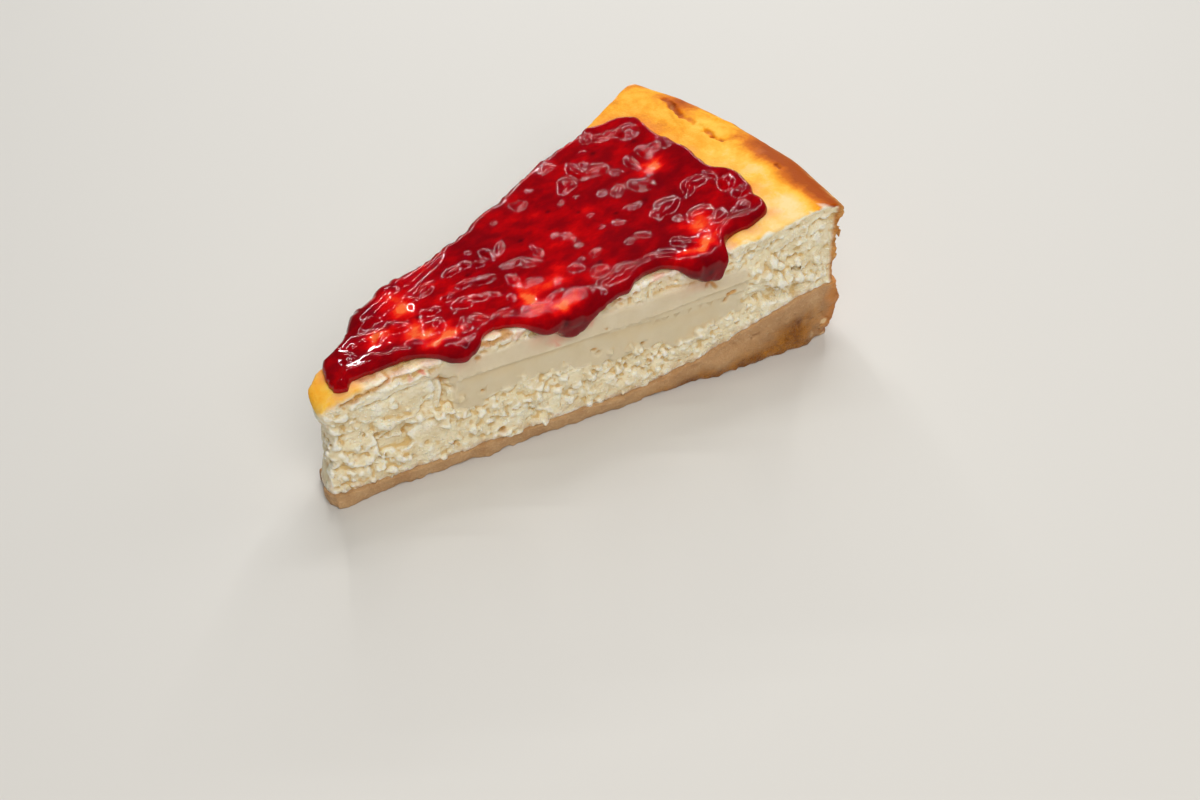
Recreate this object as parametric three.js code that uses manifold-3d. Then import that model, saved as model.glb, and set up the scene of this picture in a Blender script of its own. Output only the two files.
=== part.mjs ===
// A slice of baked cheesecake: a twelfth of a 28 cm cake, with a pastry base, a crumbly
// cheese filling with a browned top, and a layer of red jam that hangs over the cut edges.
// Millimetres, +Z up. The slice points to -X, its outer wall faces +X, and it stands on Z = 0.
// x is measured from the tip in the sizes and functions below; the last lines centre the slice.

import * as THREE from "three";
import { mergeVertices } from "three/addons/utils/BufferGeometryUtils.js";
import Module from "manifold-3d";

// Driving sizes of the slice
const CAKE_RADIUS = 140;
const SLICES_IN_CAKE = 12;
const TIP_NEAR = 3; // the point broke off, so the slice ends blunt, and off the middle line
const TIP_FAR = 5;
const TIP_BULGE = 1.4;
const TIP_SKEW = 0.8;
const CORNER_ROUNDING = 0.9;

// Height of the browned top
const TIP_HEIGHT = 30.5;
const TOP_SLOPE = 0.059; // the middle of the cake sank while it cooled
const RIM_LIFT = 2.2; // the outer ring stands proud of that slope
const RIM_LIFT_START = 95;
const RIM_LIFT_END = 121;
const SHOULDER_WIDTH = 8;
const SHOULDER_DROP = 3.8;

// Pastry base: a thin sheet that thickens into a fillet at the wall of the tin
const PASTRY_THIN = 3.6;
const PASTRY_THICK = 16.3;
const PASTRY_RISE_START = 68;
const PASTRY_RISE_END = 126;
const PASTRY_STANDS_PROUD = 1.2; // beyond the cut faces of the filling
const PASTRY_PROUD_AT_TIP = 0.6;
const PASTRY_CHIPPED = 3.2; // missing at the foot of the outer wall
const PASTRY_RAGGED = 0.8;
const PASTRY_WAVE = 0.5;

// Cheese filling
const FILLING_OUTER_INSET = 0.8;
const FACE_RELIEF = 1.6; // deepest crag in a cut face
const TIP_HOLLOW = 2; // the broken tip is hollow below its skin
const WALL_WAIST = 0.5; // the outer wall is drawn in at half its height
const GAP = 0.3; // between neighbouring pieces
// Torn marks in a cut face: a crevice near the tip, and the steps below two torn ledges.
const FACE_MARKS = [
  { x: 28, z: 24, halfLength: 1.8, halfHeight: 4.5, depth: 1.2 },
  { x: 12, z: 13, halfLength: 7, halfHeight: 3.5, depth: 0.9 },
  { x: 104, z: 20.5, halfLength: 8, halfHeight: 3, depth: 1.3 },
];

// Jam
const JAM_THICKNESS = 2.3;
const JAM_BELOW = 1.5; // the jam is made to start inside the filling, and is cut off there
const JAM_LUMPS = 0.8;
const JAM_EDGE_HEIGHT = 1.1;
const JAM_EDGE_ROUNDING = 3;
const JAM_START = 4.5;
const JAM_START_SLANT = 1.5;
const FOLD_RADIUS = 2; // of a drip's bend over the top edge of a cut face
const BARE_RING = 15.6; // width of the browned ring that the jam leaves free
const BARE_RING_CORNER = 4; // wider still at the near corner
const BARE_RING_WOBBLE = 1.6;
// The sheet of jam ends this far behind the top edge of a cut face, and runs out in lobes.
const NEAR_SETBACK = 3.6;
const NEAR_LOBES = [
  { at: 6, reach: 2, spread: 3.5 },
  { at: 30.5, reach: 2.6, spread: 6 },
  { at: 53, reach: 3, spread: 10 },
  { at: 69, reach: 2.8, spread: 6.5 },
  { at: 78, reach: 1.8, spread: 5 },
  { at: 88, reach: 2.6, spread: 7 },
];
const FAR_SETBACK = 1.4;
const FAR_LOBES = [
  { at: 31, reach: 1.2, spread: 11 },
  { at: 62, reach: 1, spread: 8 },
  { at: 84, reach: 0.8, spread: 8 },
];
// Drips hang over the edge: `hang` is their lowest point below it, measured down the face.
const DRIP_THICKNESS = 2.4;
const DRIP_ROOT = 4; // where they rise out of the sheet, behind the edge
const NEAR_DRIPS = [
  { at: 30, halfWidth: 4.6, hang: 2.7 },
  { at: 47.5, halfWidth: 4.2, hang: 2.4 },
  { at: 55.5, halfWidth: 7.4, hang: 5.2 },
  { at: 68, halfWidth: 4.6, hang: 0.8 },
  { at: 87.5, halfWidth: 5.4, hang: 5.8 },
];
const FAR_DRIPS = [{ at: 31, halfWidth: 11, hang: 3 }];

const HALF_ANGLE = Math.PI / SLICES_IN_CAKE;
const APEX = -TIP_NEAR / Math.tan(HALF_ANGLE); // the cake's middle, beyond the blunt tip
const CORNER_X = APEX + CAKE_RADIUS * Math.cos(HALF_ANGLE);
const CORNER_Y = CAKE_RADIUS * Math.sin(HALF_ANGLE);
const { clamp, lerp, smoothstep } = THREE.MathUtils;

// Noise from 0 to 1 that is the same at each run, with one hill every `size` or so

function hash(i, j, seed) {
  const s = Math.sin(i * 127.1 + j * 311.7 + seed * 74.7) * 43758.5453;
  return s - Math.floor(s);
}

function noise(x, y, size, seed) {
  const i = Math.floor(x / size);
  const j = Math.floor(y / size);
  const a = smoothstep(x / size - i, 0, 1);
  const b = smoothstep(y / size - j, 0, 1);
  const low = lerp(hash(i, j, seed), hash(i + 1, j, seed), a);
  const high = lerp(hash(i, j + 1, seed), hash(i + 1, j + 1, seed), a);
  return lerp(low, high, b);
}

// Outline of the slice from above

// Distance of a cut face from the middle line. The near cut faces -Y, the far cut +Y.
function cutDistance(x, side) {
  return lerp(side < 0 ? TIP_NEAR : TIP_FAR, CORNER_Y, x / CORNER_X);
}

// along runs from 0 at the tip to 1 at the outer wall, across from -1 at the near cut to 1.
function placeInSlice(along, across, sideInset, outerInset) {
  const tipSide = across < 0 ? TIP_NEAR : TIP_FAR;
  const tipX = TIP_BULGE * across * across + TIP_SKEW * across;
  const radius = CAKE_RADIUS - outerInset - CORNER_ROUNDING * across ** 8;
  const angle = HALF_ANGLE * across;
  const wallX = APEX + radius * Math.cos(angle);
  const wallY = radius * Math.sin(angle);
  const inset = sideInset * across;
  return [lerp(tipX, wallX, along), lerp(tipSide * across, wallY, along) - inset];
}

function distanceToWall(x, y) {
  return CAKE_RADIUS - FILLING_OUTER_INSET - Math.hypot(x - APEX, y);
}

// Heights

function topHeight(x, y) {
  const rim = RIM_LIFT * smoothstep(x, RIM_LIFT_START, RIM_LIFT_END);
  const over = clamp(1 - distanceToWall(x, y) / SHOULDER_WIDTH, 0, 1);
  const shoulder = SHOULDER_DROP * (1 - Math.sqrt(1 - over * over));
  return TIP_HEIGHT + TOP_SLOPE * x + rim - shoulder;
}

function pastryHeight(x) {
  const rise = smoothstep(x, PASTRY_RISE_START, PASTRY_RISE_END);
  const wave = PASTRY_WAVE * (noise(x, 0, 9, 5) - 0.5);
  return lerp(PASTRY_THIN, PASTRY_THICK, rise) + wave;
}

// A box whose vertices move to where `place` puts them. It stays closed.
function mappedBox(counts, place) {
  const geometry = new THREE.BoxGeometry(1, 1, 1, ...counts);
  const position = geometry.getAttribute("position");
  for (let i = 0; i < position.count; i += 1) {
    const along = position.getX(i) + 0.5;
    const across = position.getY(i) * 2;
    const up = position.getZ(i) + 0.5;
    position.setXYZ(i, ...place(along, across, up));
  }
  return geometry;
}

// A fifth of the rows goes to the last tenth of the length, where the shoulder curves.
function crowdTowardsWall(share) {
  if (share < 0.8) return (share / 0.8) * 0.9;
  return 0.9 + (share - 0.8) / 2;
}

// Rows lie closer together towards the sides.
function crowdTowardsSides(across) {
  return Math.sign(across) * (1 - (1 - Math.abs(across)) ** 1.4);
}

// Pastry and filling

function pastryGeometry() {
  const place = (along, across, up) => {
    const chipped = PASTRY_CHIPPED * (1 - up) ** 2 * along ** 6;
    const [x, y] = placeInSlice(along, across, -PASTRY_STANDS_PROUD, chipped);
    const ragged = PASTRY_RAGGED * noise(x, across * 40, 6, 2) * across ** 7;
    const proudAtTip = PASTRY_PROUD_AT_TIP * (1 - along) ** 20;
    return [x - proudAtTip, y - ragged, up * pastryHeight(x)];
  };
  return mappedBox([34, 6, 3], place);
}

// Depth of the crags in a cut face: long ledges, crumbs and the named torn marks.
function faceRelief(x, z, side) {
  const ledges = noise(x + 2 * z, z * 2.5, 11, side);
  const crumbs = noise(x, z, 4.5, side + 7);
  const rough = FACE_RELIEF * clamp(0.65 * ledges + 0.6 * crumbs - 0.15, 0, 1);
  const marks = FACE_MARKS.map((mark) => {
    const away = Math.hypot((x - mark.x) / mark.halfLength, (z - mark.z) / mark.halfHeight);
    return mark.depth * clamp(1.3 - away, 0, 1);
  });
  return rough + Math.max(...marks);
}

function fillingGeometry(counts, grown) {
  const place = (share, across, up) => {
    const along = crowdTowardsWall(share);
    const [x, y] = placeInSlice(along, across, -grown, FILLING_OUTER_INSET - grown);
    const low = pastryHeight(x) + GAP - grown;
    const z = lerp(low, topHeight(x, y) + grown, up);
    if (grown > 0) return [x - grown * (1 - along), y, z];
    const belowSkin = smoothstep(1 - up, 0, 0.08);
    const relief = faceRelief(x, z, Math.sign(across)) * across ** 8 * belowSkin;
    const bow = Math.sin(Math.PI * up);
    const hollow = TIP_HOLLOW * bow * (1 - along) ** 30;
    const waist = WALL_WAIST * bow * along ** 30;
    return [x + hollow - waist, y - Math.sign(across) * relief, z];
  };
  return mappedBox(counts, place);
}

// Jam

// How far the jam runs past the top edge of a cut face; behind the edge it is negative.
function runOver(x, side) {
  const lobes = side < 0 ? NEAR_LOBES : FAR_LOBES;
  const setback = side < 0 ? NEAR_SETBACK : FAR_SETBACK;
  const reaches = lobes.map(({ at, reach, spread }) => {
    return reach * Math.exp(-(((x - at) / spread) ** 2));
  });
  const wobble = 0.9 * (noise(x, side, 6, 11) - 0.5);
  return Math.max(...reaches) + wobble - setback;
}

// A point of the jam, lifted off the surface that it lies on. Past the top edge of a cut
// face the surface turns down, round a quarter circle that ends on that face.
function onFoldedSurface(x, w, lift) {
  const side = Math.sign(w);
  const past = Math.abs(w) - cutDistance(x, side);
  if (past < -FOLD_RADIUS) return [x, w, topHeight(x, w) + lift];
  const edge = w - side * past;
  const top = topHeight(x, edge);
  if (past > FOLD_RADIUS) return [x, edge + side * lift, top - past];
  const turn = ((past / FOLD_RADIUS + 1) * Math.PI) / 4;
  const radius = FOLD_RADIUS + lift;
  const out = radius * Math.sin(turn) - FOLD_RADIUS;
  return [x, edge + side * out, top - FOLD_RADIUS + radius * Math.cos(turn)];
}

function jamEnd(across) {
  const y = across * CORNER_Y;
  const wall = APEX + Math.sqrt((CAKE_RADIUS - BARE_RING) ** 2 - y * y);
  const corner = BARE_RING_CORNER * clamp(-across, 0, 1) ** 3;
  return wall - corner + BARE_RING_WOBBLE * (2 * noise(y, 0, 7, 13) - 1);
}

function jamSheetGeometry() {
  const place = (along, evenAcross, up) => {
    const across = crowdTowardsSides(evenAcross);
    const start = JAM_START + JAM_START_SLANT * (across + 0.4) ** 2;
    const end = jamEnd(across);
    const x = lerp(start, end, along);
    const near = -cutDistance(x, -1) - runOver(x, -1);
    const far = cutDistance(x, 1) + runOver(x, 1);
    const w = lerp(near, far, (across + 1) / 2);
    const toRim = Math.min(w - near, far - w, x - start, end - x);
    const inwards = clamp(toRim / JAM_EDGE_ROUNDING, 0, 1);
    const lumps = JAM_LUMPS * (noise(x, w, 5, 14) + noise(x, w, 10, 15) - 1);
    const middle = JAM_THICKNESS + lumps;
    const lift = lerp(JAM_EDGE_HEIGHT, middle, Math.sqrt(1 - (1 - inwards) ** 2));
    return onFoldedSurface(x, w, lerp(-JAM_BELOW, lift, up));
  };
  return mappedBox([36, 12, 1], place);
}

function dripGeometry({ at, halfWidth, hang }, side) {
  const geometry = new THREE.SphereGeometry(1, 16, 12);
  const position = geometry.getAttribute("position");
  const middle = cutDistance(at, side) + (hang - DRIP_ROOT) / 2;
  const reach = (hang + DRIP_ROOT) / 2;
  const slant = (CORNER_Y - (side < 0 ? TIP_NEAR : TIP_FAR)) / CORNER_X;
  for (let i = 0; i < position.count; i += 1) {
    const x = at + halfWidth * position.getX(i);
    const w = side * (middle + slant * (x - at)) + reach * position.getY(i);
    const round = position.getZ(i);
    const lift = DRIP_THICKNESS * Math.sign(round) * Math.sqrt(Math.abs(round));
    position.setXYZ(i, ...onFoldedSurface(x, w, Math.max(lift, -JAM_BELOW)));
  }
  return geometry;
}

// Joins and cuts of closed meshes

const wasm = await Module();
wasm.setup();

function toSolid(geometry) {
  const bare = geometry.clone();
  bare.deleteAttribute("normal");
  bare.deleteAttribute("uv");
  const merged = mergeVertices(bare, 1e-4);
  return new wasm.Manifold(
    new wasm.Mesh({
      numProp: 3,
      vertProperties: new Float32Array(merged.getAttribute("position").array),
      triVerts: new Uint32Array(merged.index.array),
    }),
  );
}

function toGeometry(solid) {
  const { vertProperties, triVerts } = solid.getMesh();
  const geometry = new THREE.BufferGeometry();
  geometry.setAttribute("position", new THREE.BufferAttribute(new Float32Array(vertProperties), 3));
  geometry.setIndex(new THREE.BufferAttribute(new Uint32Array(triVerts), 1));
  geometry.computeVertexNormals();
  return geometry;
}

// The sheet and its drips, less the filling with a gap round it. Specks are dropped.
function jamGeometry() {
  let jam = toSolid(jamSheetGeometry());
  for (const drip of NEAR_DRIPS) jam = jam.add(toSolid(dripGeometry(drip, -1)));
  for (const drip of FAR_DRIPS) jam = jam.add(toSolid(dripGeometry(drip, 1)));
  const room = toSolid(fillingGeometry([36, 8, 2], GAP));
  const pieces = jam.subtract(room).decompose();
  pieces.sort((a, b) => b.volume() - a.volume());
  return toGeometry(pieces[0]);
}

// Materials, in the colours of the baked pastry, the cut cheese and the jam

const pastryMaterial = new THREE.MeshStandardMaterial({
  color: 0xb9936a,
  roughness: 0.75,
  metalness: 0,
});
const fillingMaterial = new THREE.MeshStandardMaterial({
  color: 0xeee2bd,
  roughness: 0.6,
  metalness: 0,
});
const jamMaterial = new THREE.MeshStandardMaterial({
  color: 0x9c0412,
  roughness: 0.12,
  metalness: 0,
});

function namedMesh(name, geometry, material) {
  const mesh = new THREE.Mesh(geometry, material);
  mesh.name = name;
  return mesh;
}

const slice = new THREE.Group();
slice.add(namedMesh("pastry_base", pastryGeometry(), pastryMaterial));
slice.add(namedMesh("cheese_filling", fillingGeometry([40, 10, 9], 0), fillingMaterial));
slice.add(namedMesh("jam_topping", jamGeometry(), jamMaterial));

const middle = new THREE.Box3().setFromObject(slice).getCenter(new THREE.Vector3());
for (const mesh of slice.children) mesh.geometry.translate(-middle.x, -middle.y, 0);

export default slice;
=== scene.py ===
# A slice of baked cheesecake with red berry jam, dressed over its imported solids.
# Lengths are millimetres and x is measured from the tip of the slice, as in the part's
# source, until to_frame() turns them into the metres of the shared frame.
# +X runs from the tip to the outer wall, the near cut faces -Y, and +Z is up.

import itertools
import math

import bpy
import numpy as np
import openvdb
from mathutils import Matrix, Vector, kdtree

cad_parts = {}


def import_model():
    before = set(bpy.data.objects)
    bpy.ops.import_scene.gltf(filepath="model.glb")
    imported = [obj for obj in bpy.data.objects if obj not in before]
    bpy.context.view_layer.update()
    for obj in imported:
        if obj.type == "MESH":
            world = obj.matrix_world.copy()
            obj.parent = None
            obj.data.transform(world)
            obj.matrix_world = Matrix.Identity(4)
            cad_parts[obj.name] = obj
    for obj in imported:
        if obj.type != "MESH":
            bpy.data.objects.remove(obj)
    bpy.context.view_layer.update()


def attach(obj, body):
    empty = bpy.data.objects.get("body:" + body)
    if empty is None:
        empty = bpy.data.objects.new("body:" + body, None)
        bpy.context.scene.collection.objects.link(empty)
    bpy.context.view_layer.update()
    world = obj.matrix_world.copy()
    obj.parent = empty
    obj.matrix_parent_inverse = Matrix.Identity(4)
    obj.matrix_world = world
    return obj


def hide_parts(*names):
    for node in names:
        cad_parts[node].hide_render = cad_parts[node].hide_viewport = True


MM = 0.001
MIDDLE_X = 64.046  # of the part's box, from the tip
MIDDLE_Y = 0.110

# Fineness of the meshes, and the room that their fields fill
CHEESE_STEP = 0.37
PASTRY_STEP = 0.34
CHEESE_ROOM = (-3.0, -39.0, 1.2), (131.0, 39.0, 43.0)
PASTRY_ROOM = (-3.0, -40.0, -1.5), (131.0, 40.0, 18.5)
CHEESE_MERGING = 0.05
PASTRY_MERGING = 0.015
JAM_GRID = (290, 160)
CAVITY_STEPS = 10
FIELD_REACH = 3.0  # fields are cut off this far from their surface, in millimetres
CHEESE_ROUNDING = 0.22
PASTRY_ROUNDING = 0.07
RIM_POINTS = 3000
COARSE_RIM_POINTS = 900

# Sizes of the solids
CAKE_RADIUS = 140.0
HALF_ANGLE = math.pi / 12
TIP_NEAR = 3.0
TIP_FAR = 5.0
TIP_BULGE = 1.4
TIP_SKEW = 0.8
CORNER_ROUNDING = 0.9
TIP_HEIGHT = 30.5
TOP_SLOPE = 0.059
RIM_LIFT = 2.2
RIM_LIFT_START = 95.0
RIM_LIFT_END = 121.0
SHOULDER_WIDTH = 8.0
SHOULDER_DROP = 3.8
PASTRY_THIN = 3.6
PASTRY_THICK = 16.3
PASTRY_RISE_START = 68.0
PASTRY_RISE_END = 126.0
PASTRY_STANDS_PROUD = 1.2
PASTRY_PROUD_AT_TIP = 0.6
PASTRY_CHIPPED = 3.2
PASTRY_RAGGED = 0.8
PASTRY_WAVE = 0.5
FILLING_OUTER_INSET = 0.8
TIP_HOLLOW = 2.0
WALL_WAIST = 0.5
APEX = -TIP_NEAR / math.tan(HALF_ANGLE)
CORNER_X = APEX + CAKE_RADIUS * math.cos(HALF_ANGLE)
CORNER_Y = CAKE_RADIUS * math.sin(HALF_ANGLE)

# Finer forms that the solids lack
LEDGE_SLOPE = 0.3
TIP_NOSE = 9.0  # the browned top rounds off towards the tip, over this length
TIP_DROP = 3.4
FAR_LEAN = 1.5  # the far cut leans in towards its upper edge, along its outer half

# Outline of the jam: how far it runs past the top edge of a cut face
JAM_START = 4.5
JAM_START_SLANT = 1.5
FOLD_RADIUS = 2.0
JAM_DEPTH = 1.8
JAM_RIM = 1.7  # how far in its rounded rim reaches
OUTER_END = [  # y and x of the jam's outer end
    (-30.0, 96.0), (-27.6, 101.6), (-26.4, 106.0), (-24.6, 109.0), (-22.0, 109.2), (-19.0, 110.0),
    (-13.6, 112.2), (-10.0, 113.0), (-7.0, 111.0), (-4.6, 109.6), (0.0, 110.6), (7.0, 110.8),
    (14.0, 110.2), (17.5, 110.8), (20.8, 111.2), (23.4, 110.4), (25.8, 108.2), (27.8, 105.6),
    (29.8, 102.2), (33.0, 98.0),
]
NEAR_EDGE = [  # x and how far the jam hangs below the upper edge; above zero only in its drips
    (4.2, -3.4), (5.4, 0.7), (6.2, 0.3), (7.5, -2.8), (9.0, -3.7), (21.5, -3.7), (24.0, -2.6),
    (25.8, -0.2), (27.2, 1.8), (29.0, 2.3), (30.8, 2.7), (32.2, 2.2), (33.6, 1.4), (35.0, 0.2),
    (36.4, -1.7), (38.4, -3.2), (41.5, -3.1), (44.2, -0.8), (45.8, 1.4), (47.2, 2.6), (49.0, 3.5),
    (51.4, 4.9), (53.6, 6.8), (56.8, 6.6), (59.0, 4.2), (61.4, 2.1), (65.0, 1.4), (69.2, 0.9),
    (71.2, -1.2), (75.5, -2.4), (79.8, -2.0), (81.4, 1.4), (83.6, 3.8), (85.8, 5.4), (88.0, 6.2),
    (90.0, 6.4), (91.2, 4.0), (92.4, 0.4), (93.8, -2.6), (96.5, -3.8), (100.0, -4.4), (112.0, -4.4),
]
FAR_SETBACK = 0.9
FAR_BULGE = [  # x and how much thicker the jam is where it folds over the far edge
    (16.0, 0.0), (19.5, 1.9), (30.0, 1.9), (36.0, 1.4), (44.0, 0.8), (56.0, 0.2), (63.0, -0.2),
    (67.0, -0.8), (72.0, -0.1), (79.0, 0.1), (83.0, 0.8), (88.0, 0.3), (100.0, 0.7),
]
FAR_LOBES = [  # x, reach and half width of the jam's runs over the far edge
    (26.0, 5.2, 11.0), (62.0, 0.9, 8.0), (84.0, 1.2, 8.0),
]
OUTER_END_MIDDLE = 2.0
OUTER_END_HALF = 29.5

# Marks on the near cut, x and z
KNIFE_BAND_FOOT = [
    (27.0, 17.6), (32.0, 15.2), (36.0, 15.8), (45.0, 18.0), (54.0, 17.6), (63.0, 14.9),
    (72.0, 15.4), (81.0, 13.1), (90.0, 14.9), (99.0, 16.3),
]
KNIFE_BAND_TOP = 29.8
KNIFE_BAND_START = 27.0
KNIFE_BAND_END = 101.0
KNIFE_LINE = [(28.0, 24.4), (63.0, 23.7), (72.0, 23.5), (96.0, 24.9)]
KNIFE_LINE_LOW = [(64.0, 23.4), (77.0, 22.1), (96.0, 22.1)]
PITS = [  # x, z, radius, depth
    (28.0, 6.0, 0.6, 1.0), (38.8, 5.8, 0.9, 1.3), (35.2, 18.7, 0.5, 0.7), (11.2, 14.0, 0.5, 0.9),
    (17.8, 13.4, 0.5, 0.9), (34.3, 28.5, 0.7, 0.7), (61.4, 19.6, 0.6, 1.1), (62.4, 18.4, 0.5, 0.9),
    (66.6, 30.9, 0.8, 1.3), (67.6, 31.3, 0.6, 1.2), (71.1, 32.0, 0.6, 0.8), (73.5, 16.3, 0.5, 1.0),
    (69.5, 11.0, 0.6, 1.1), (75.0, 10.6, 0.5, 1.0), (64.0, 24.8, 0.35, 0.5),
]
STROKES = [  # ends of a line, half width and depth; a negative depth stands proud
    ((25.3, 26.6), (28.0, 24.4), 0.8, 1.2), ((28.0, 24.4), (27.1, 18.1), 0.7, 1.5),
    ((29.6, 25.8), (28.8, 18.4), 0.6, -0.3), ((4.6, 27.6), (10.4, 29.0), 0.3, 0.9),
    ((10.4, 29.0), (15.4, 30.2), 0.3, 0.8), ((5.5, 26.0), (9.5, 28.7), 0.6, -0.4),
    ((9.5, 28.7), (22.7, 28.8), 0.5, -0.4), ((22.7, 28.8), (28.0, 24.8), 0.5, -0.4),
    ((12.6, 18.6), (19.9, 17.4), 1.1, -0.9), ((12.2, 15.2), (18.0, 14.6), 1.3, 1.2),
    ((24.6, 16.4), (27.6, 16.0), 0.8, -0.7), ((24.6, 14.8), (26.6, 14.4), 0.6, 0.7),
    ((88.4, 27.6), (88.8, 29.4), 0.25, 0.6), ((88.8, 29.2), (90.8, 26.2), 0.25, 0.5),
    ((93.9, 20.8), (94.3, 22.6), 0.3, 0.7), ((94.3, 22.6), (96.0, 22.9), 0.25, 0.5),
    ((35.0, 31.6), (38.0, 31.0), 0.3, 0.8), ((38.0, 31.0), (42.0, 32.2), 0.3, 0.8),
    ((101.0, 26.6), (107.0, 21.4), 1.3, -1.0), ((107.0, 21.4), (112.0, 21.0), 1.2, -0.9),
    ((112.0, 21.0), (119.0, 18.5), 1.2, -0.8), ((100.0, 18.7), (106.0, 18.2), 1.8, 0.8),
    ((106.0, 18.2), (112.0, 17.0), 1.6, 0.7), ((104.0, 24.6), (106.0, 20.6), 0.5, 0.5),
]

TORN_PLACES = [  # smooth ones: ends of their middle line, half width, depth
    ((9.5, 23.0), (23.5, 24.8), 1.9, 0.6), ((13.2, 19.2), (19.5, 21.8), 2.4, 0.7),
    ((7.0, 26.6), (23.5, 28.0), 1.2, 0.1), ((26.4, 25.4), (25.8, 18.4), 1.7, 1.5),
    ((21.6, 12.8), (27.0, 9.4), 2.6, 0.7), ((12.6, 12.0), (17.2, 11.4), 1.9, 1.9),
    ((31.0, 18.0), (40.0, 19.5), 2.6, 0.5), ((106.0, 31.5), (112.0, 34.0), 1.3, 0.6),
]

LOOSE_CRUMBS = [  # x, z and radius of crumbs that cling to the near cut
    (-0.5, 17.6, 0.9), (-0.2, 10.4, 0.8), (0.9, 8.2, 1.0), (2.0, 4.8, 0.6), (2.5, 22.4, 0.7),
    (3.0, 7.0, 0.7), (3.8, 18.6, 0.8), (4.0, 12.4, 0.9), (4.8, 7.7, 0.7), (5.4, 17.2, 0.7),
    (6.5, 14.6, 0.7), (7.5, 19.9, 0.5), (8.5, 4.1, 0.6), (9.0, 21.5, 0.5), (9.9, 6.5, 0.7),
    (11.3, 6.3, 0.8), (13.2, 4.9, 1.0), (15.2, 24.3, 0.6), (15.3, 7.8, 1.0), (15.5, 22.7, 1.0),
    (16.1, 7.5, 1.1), (16.9, 7.5, 0.9), (18.2, 20.6, 0.7), (24.6, 15.5, 0.9), (26.1, 12.4, 1.1),
    (27.7, 16.1, 0.8), (29.7, 18.7, 0.9), (30.2, 14.5, 0.9), (32.2, 8.6, 1.2), (34.3, 12.7, 0.9),
    (35.7, 9.5, 0.9), (39.2, 9.9, 1.0), (42.4, 11.5, 1.2), (44.4, 12.2, 0.9), (45.7, 12.0, 1.0),
    (47.1, 12.0, 1.2), (47.9, 14.3, 1.0), (49.5, 12.4, 1.0), (50.0, 16.0, 1.0), (51.9, 11.2, 1.0),
    (53.5, 14.5, 0.9), (55.0, 7.2, 1.0), (56.6, 11.2, 1.0), (59.8, 12.4, 1.1), (62.5, 13.3, 0.9),
    (64.6, 17.6, 0.8), (67.3, 11.2, 1.1), (69.9, 16.6, 1.0), (72.0, 15.1, 0.9), (73.8, 9.7, 1.0),
    (75.4, 10.4, 1.0), (77.1, 7.0, 0.9), (79.2, 10.8, 0.9), (81.9, 13.0, 0.8), (86.8, 13.5, 0.8),
    (90.6, 15.3, 0.8), (96.9, 14.1, 0.8), (100.7, 24.2, 1.0), (103.4, 25.1, 1.3),
    (105.4, 28.1, 1.3), (106.5, 22.0, 1.7), (107.2, 26.1, 1.1), (108.8, 21.1, 1.1),
    (109.8, 22.6, 1.3), (111.6, 25.3, 1.2), (116.5, 24.6, 1.0), (120.0, 19.4, 0.9),
]

MOIST_TOP = [(81.0, 3.0), (94.0, 4.0), (104.0, 6.4), (113.0, 9.4), (118.0, 12.0), (124.0, 13.5)]

SKIN_FOLDS = [  # ends of a line on the browned top, half width and depth
    ((121.6, 21.6), (120.2, 18.4), 0.8, 0.5), ((120.2, 18.4), (119.5, 15.0), 0.9, 0.7),
    ((119.5, 15.0), (118.9, 13.4), 0.6, 0.5), ((118.4, 17.0), (117.2, 11.2), 0.8, -0.35),
    ((118.9, 13.4), (119.2, 9.0), 0.7, 0.3), ((119.6, 7.6), (123.7, 7.1), 0.6, -0.3),
    ((123.7, 7.1), (128.6, 1.6), 0.8, -0.3), ((118.9, 5.4), (119.0, 2.5), 0.6, 0.55),
    ((119.0, 2.5), (118.8, -0.1), 0.5, 0.4), ((118.8, -0.1), (122.4, -1.6), 0.6, 0.25),
    ((120.5, -15.6), (119.8, -17.2), 0.4, 0.4),
]

STAINS = [  # smears of jam on the cheese: x, unrolled y, half length, half width, strength
    (13.5, -5.6, 2.4, 1.0, 0.8), (17.0, -8.4, 3.0, 1.0, 0.35), (22.3, -11.2, 0.8, 0.5, 0.9),
    (19.3, -11.0, 0.9, 0.5, 0.5), (24.5, -10.0, 2.5, 1.2, 0.35), (44.0, -16.6, 2.6, 1.0, 0.5),
    (53.0, -24.9, 1.5, 1.3, 0.95), (59.8, -24.6, 1.5, 1.2, 0.7), (77.2, -24.2, 2.4, 1.0, 0.6),
    (81.4, -25.4, 1.6, 1.0, 0.5), (94.0, -27.0, 3.0, 1.0, 0.5), (108.5, 24.2, 1.3, 1.3, 0.45),
    (107.8, -3.8, 0.8, 1.6, 0.4),
]

# Thin places in the jam: x, y, half length, half width, turn, share of the depth that is gone
THIN_SPOTS = [
    (28.5, 6.8, 3.6, 4.0, 0.3, 0.85), (19.5, 2.5, 3.6, 2.2, 0.2, 0.75),
    (26.5, -1.8, 4.6, 3.0, -0.3, 0.7), (29.5, -6.2, 4.6, 1.5, 0.1, 0.95),
    (50.8, -9.8, 2.5, 4.2, -0.3, 0.95), (55.5, -9.5, 7.0, 3.8, 0.2, 0.55),
    (54.0, -15.6, 5.0, 1.6, -0.1, 0.85), (100.6, 4.8, 3.4, 2.6, 0.0, 0.95),
    (92.5, -18.5, 4.5, 3.0, 0.3, 0.6), (87.5, -23.6, 7.5, 1.7, 0.1, 0.9),
]

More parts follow.
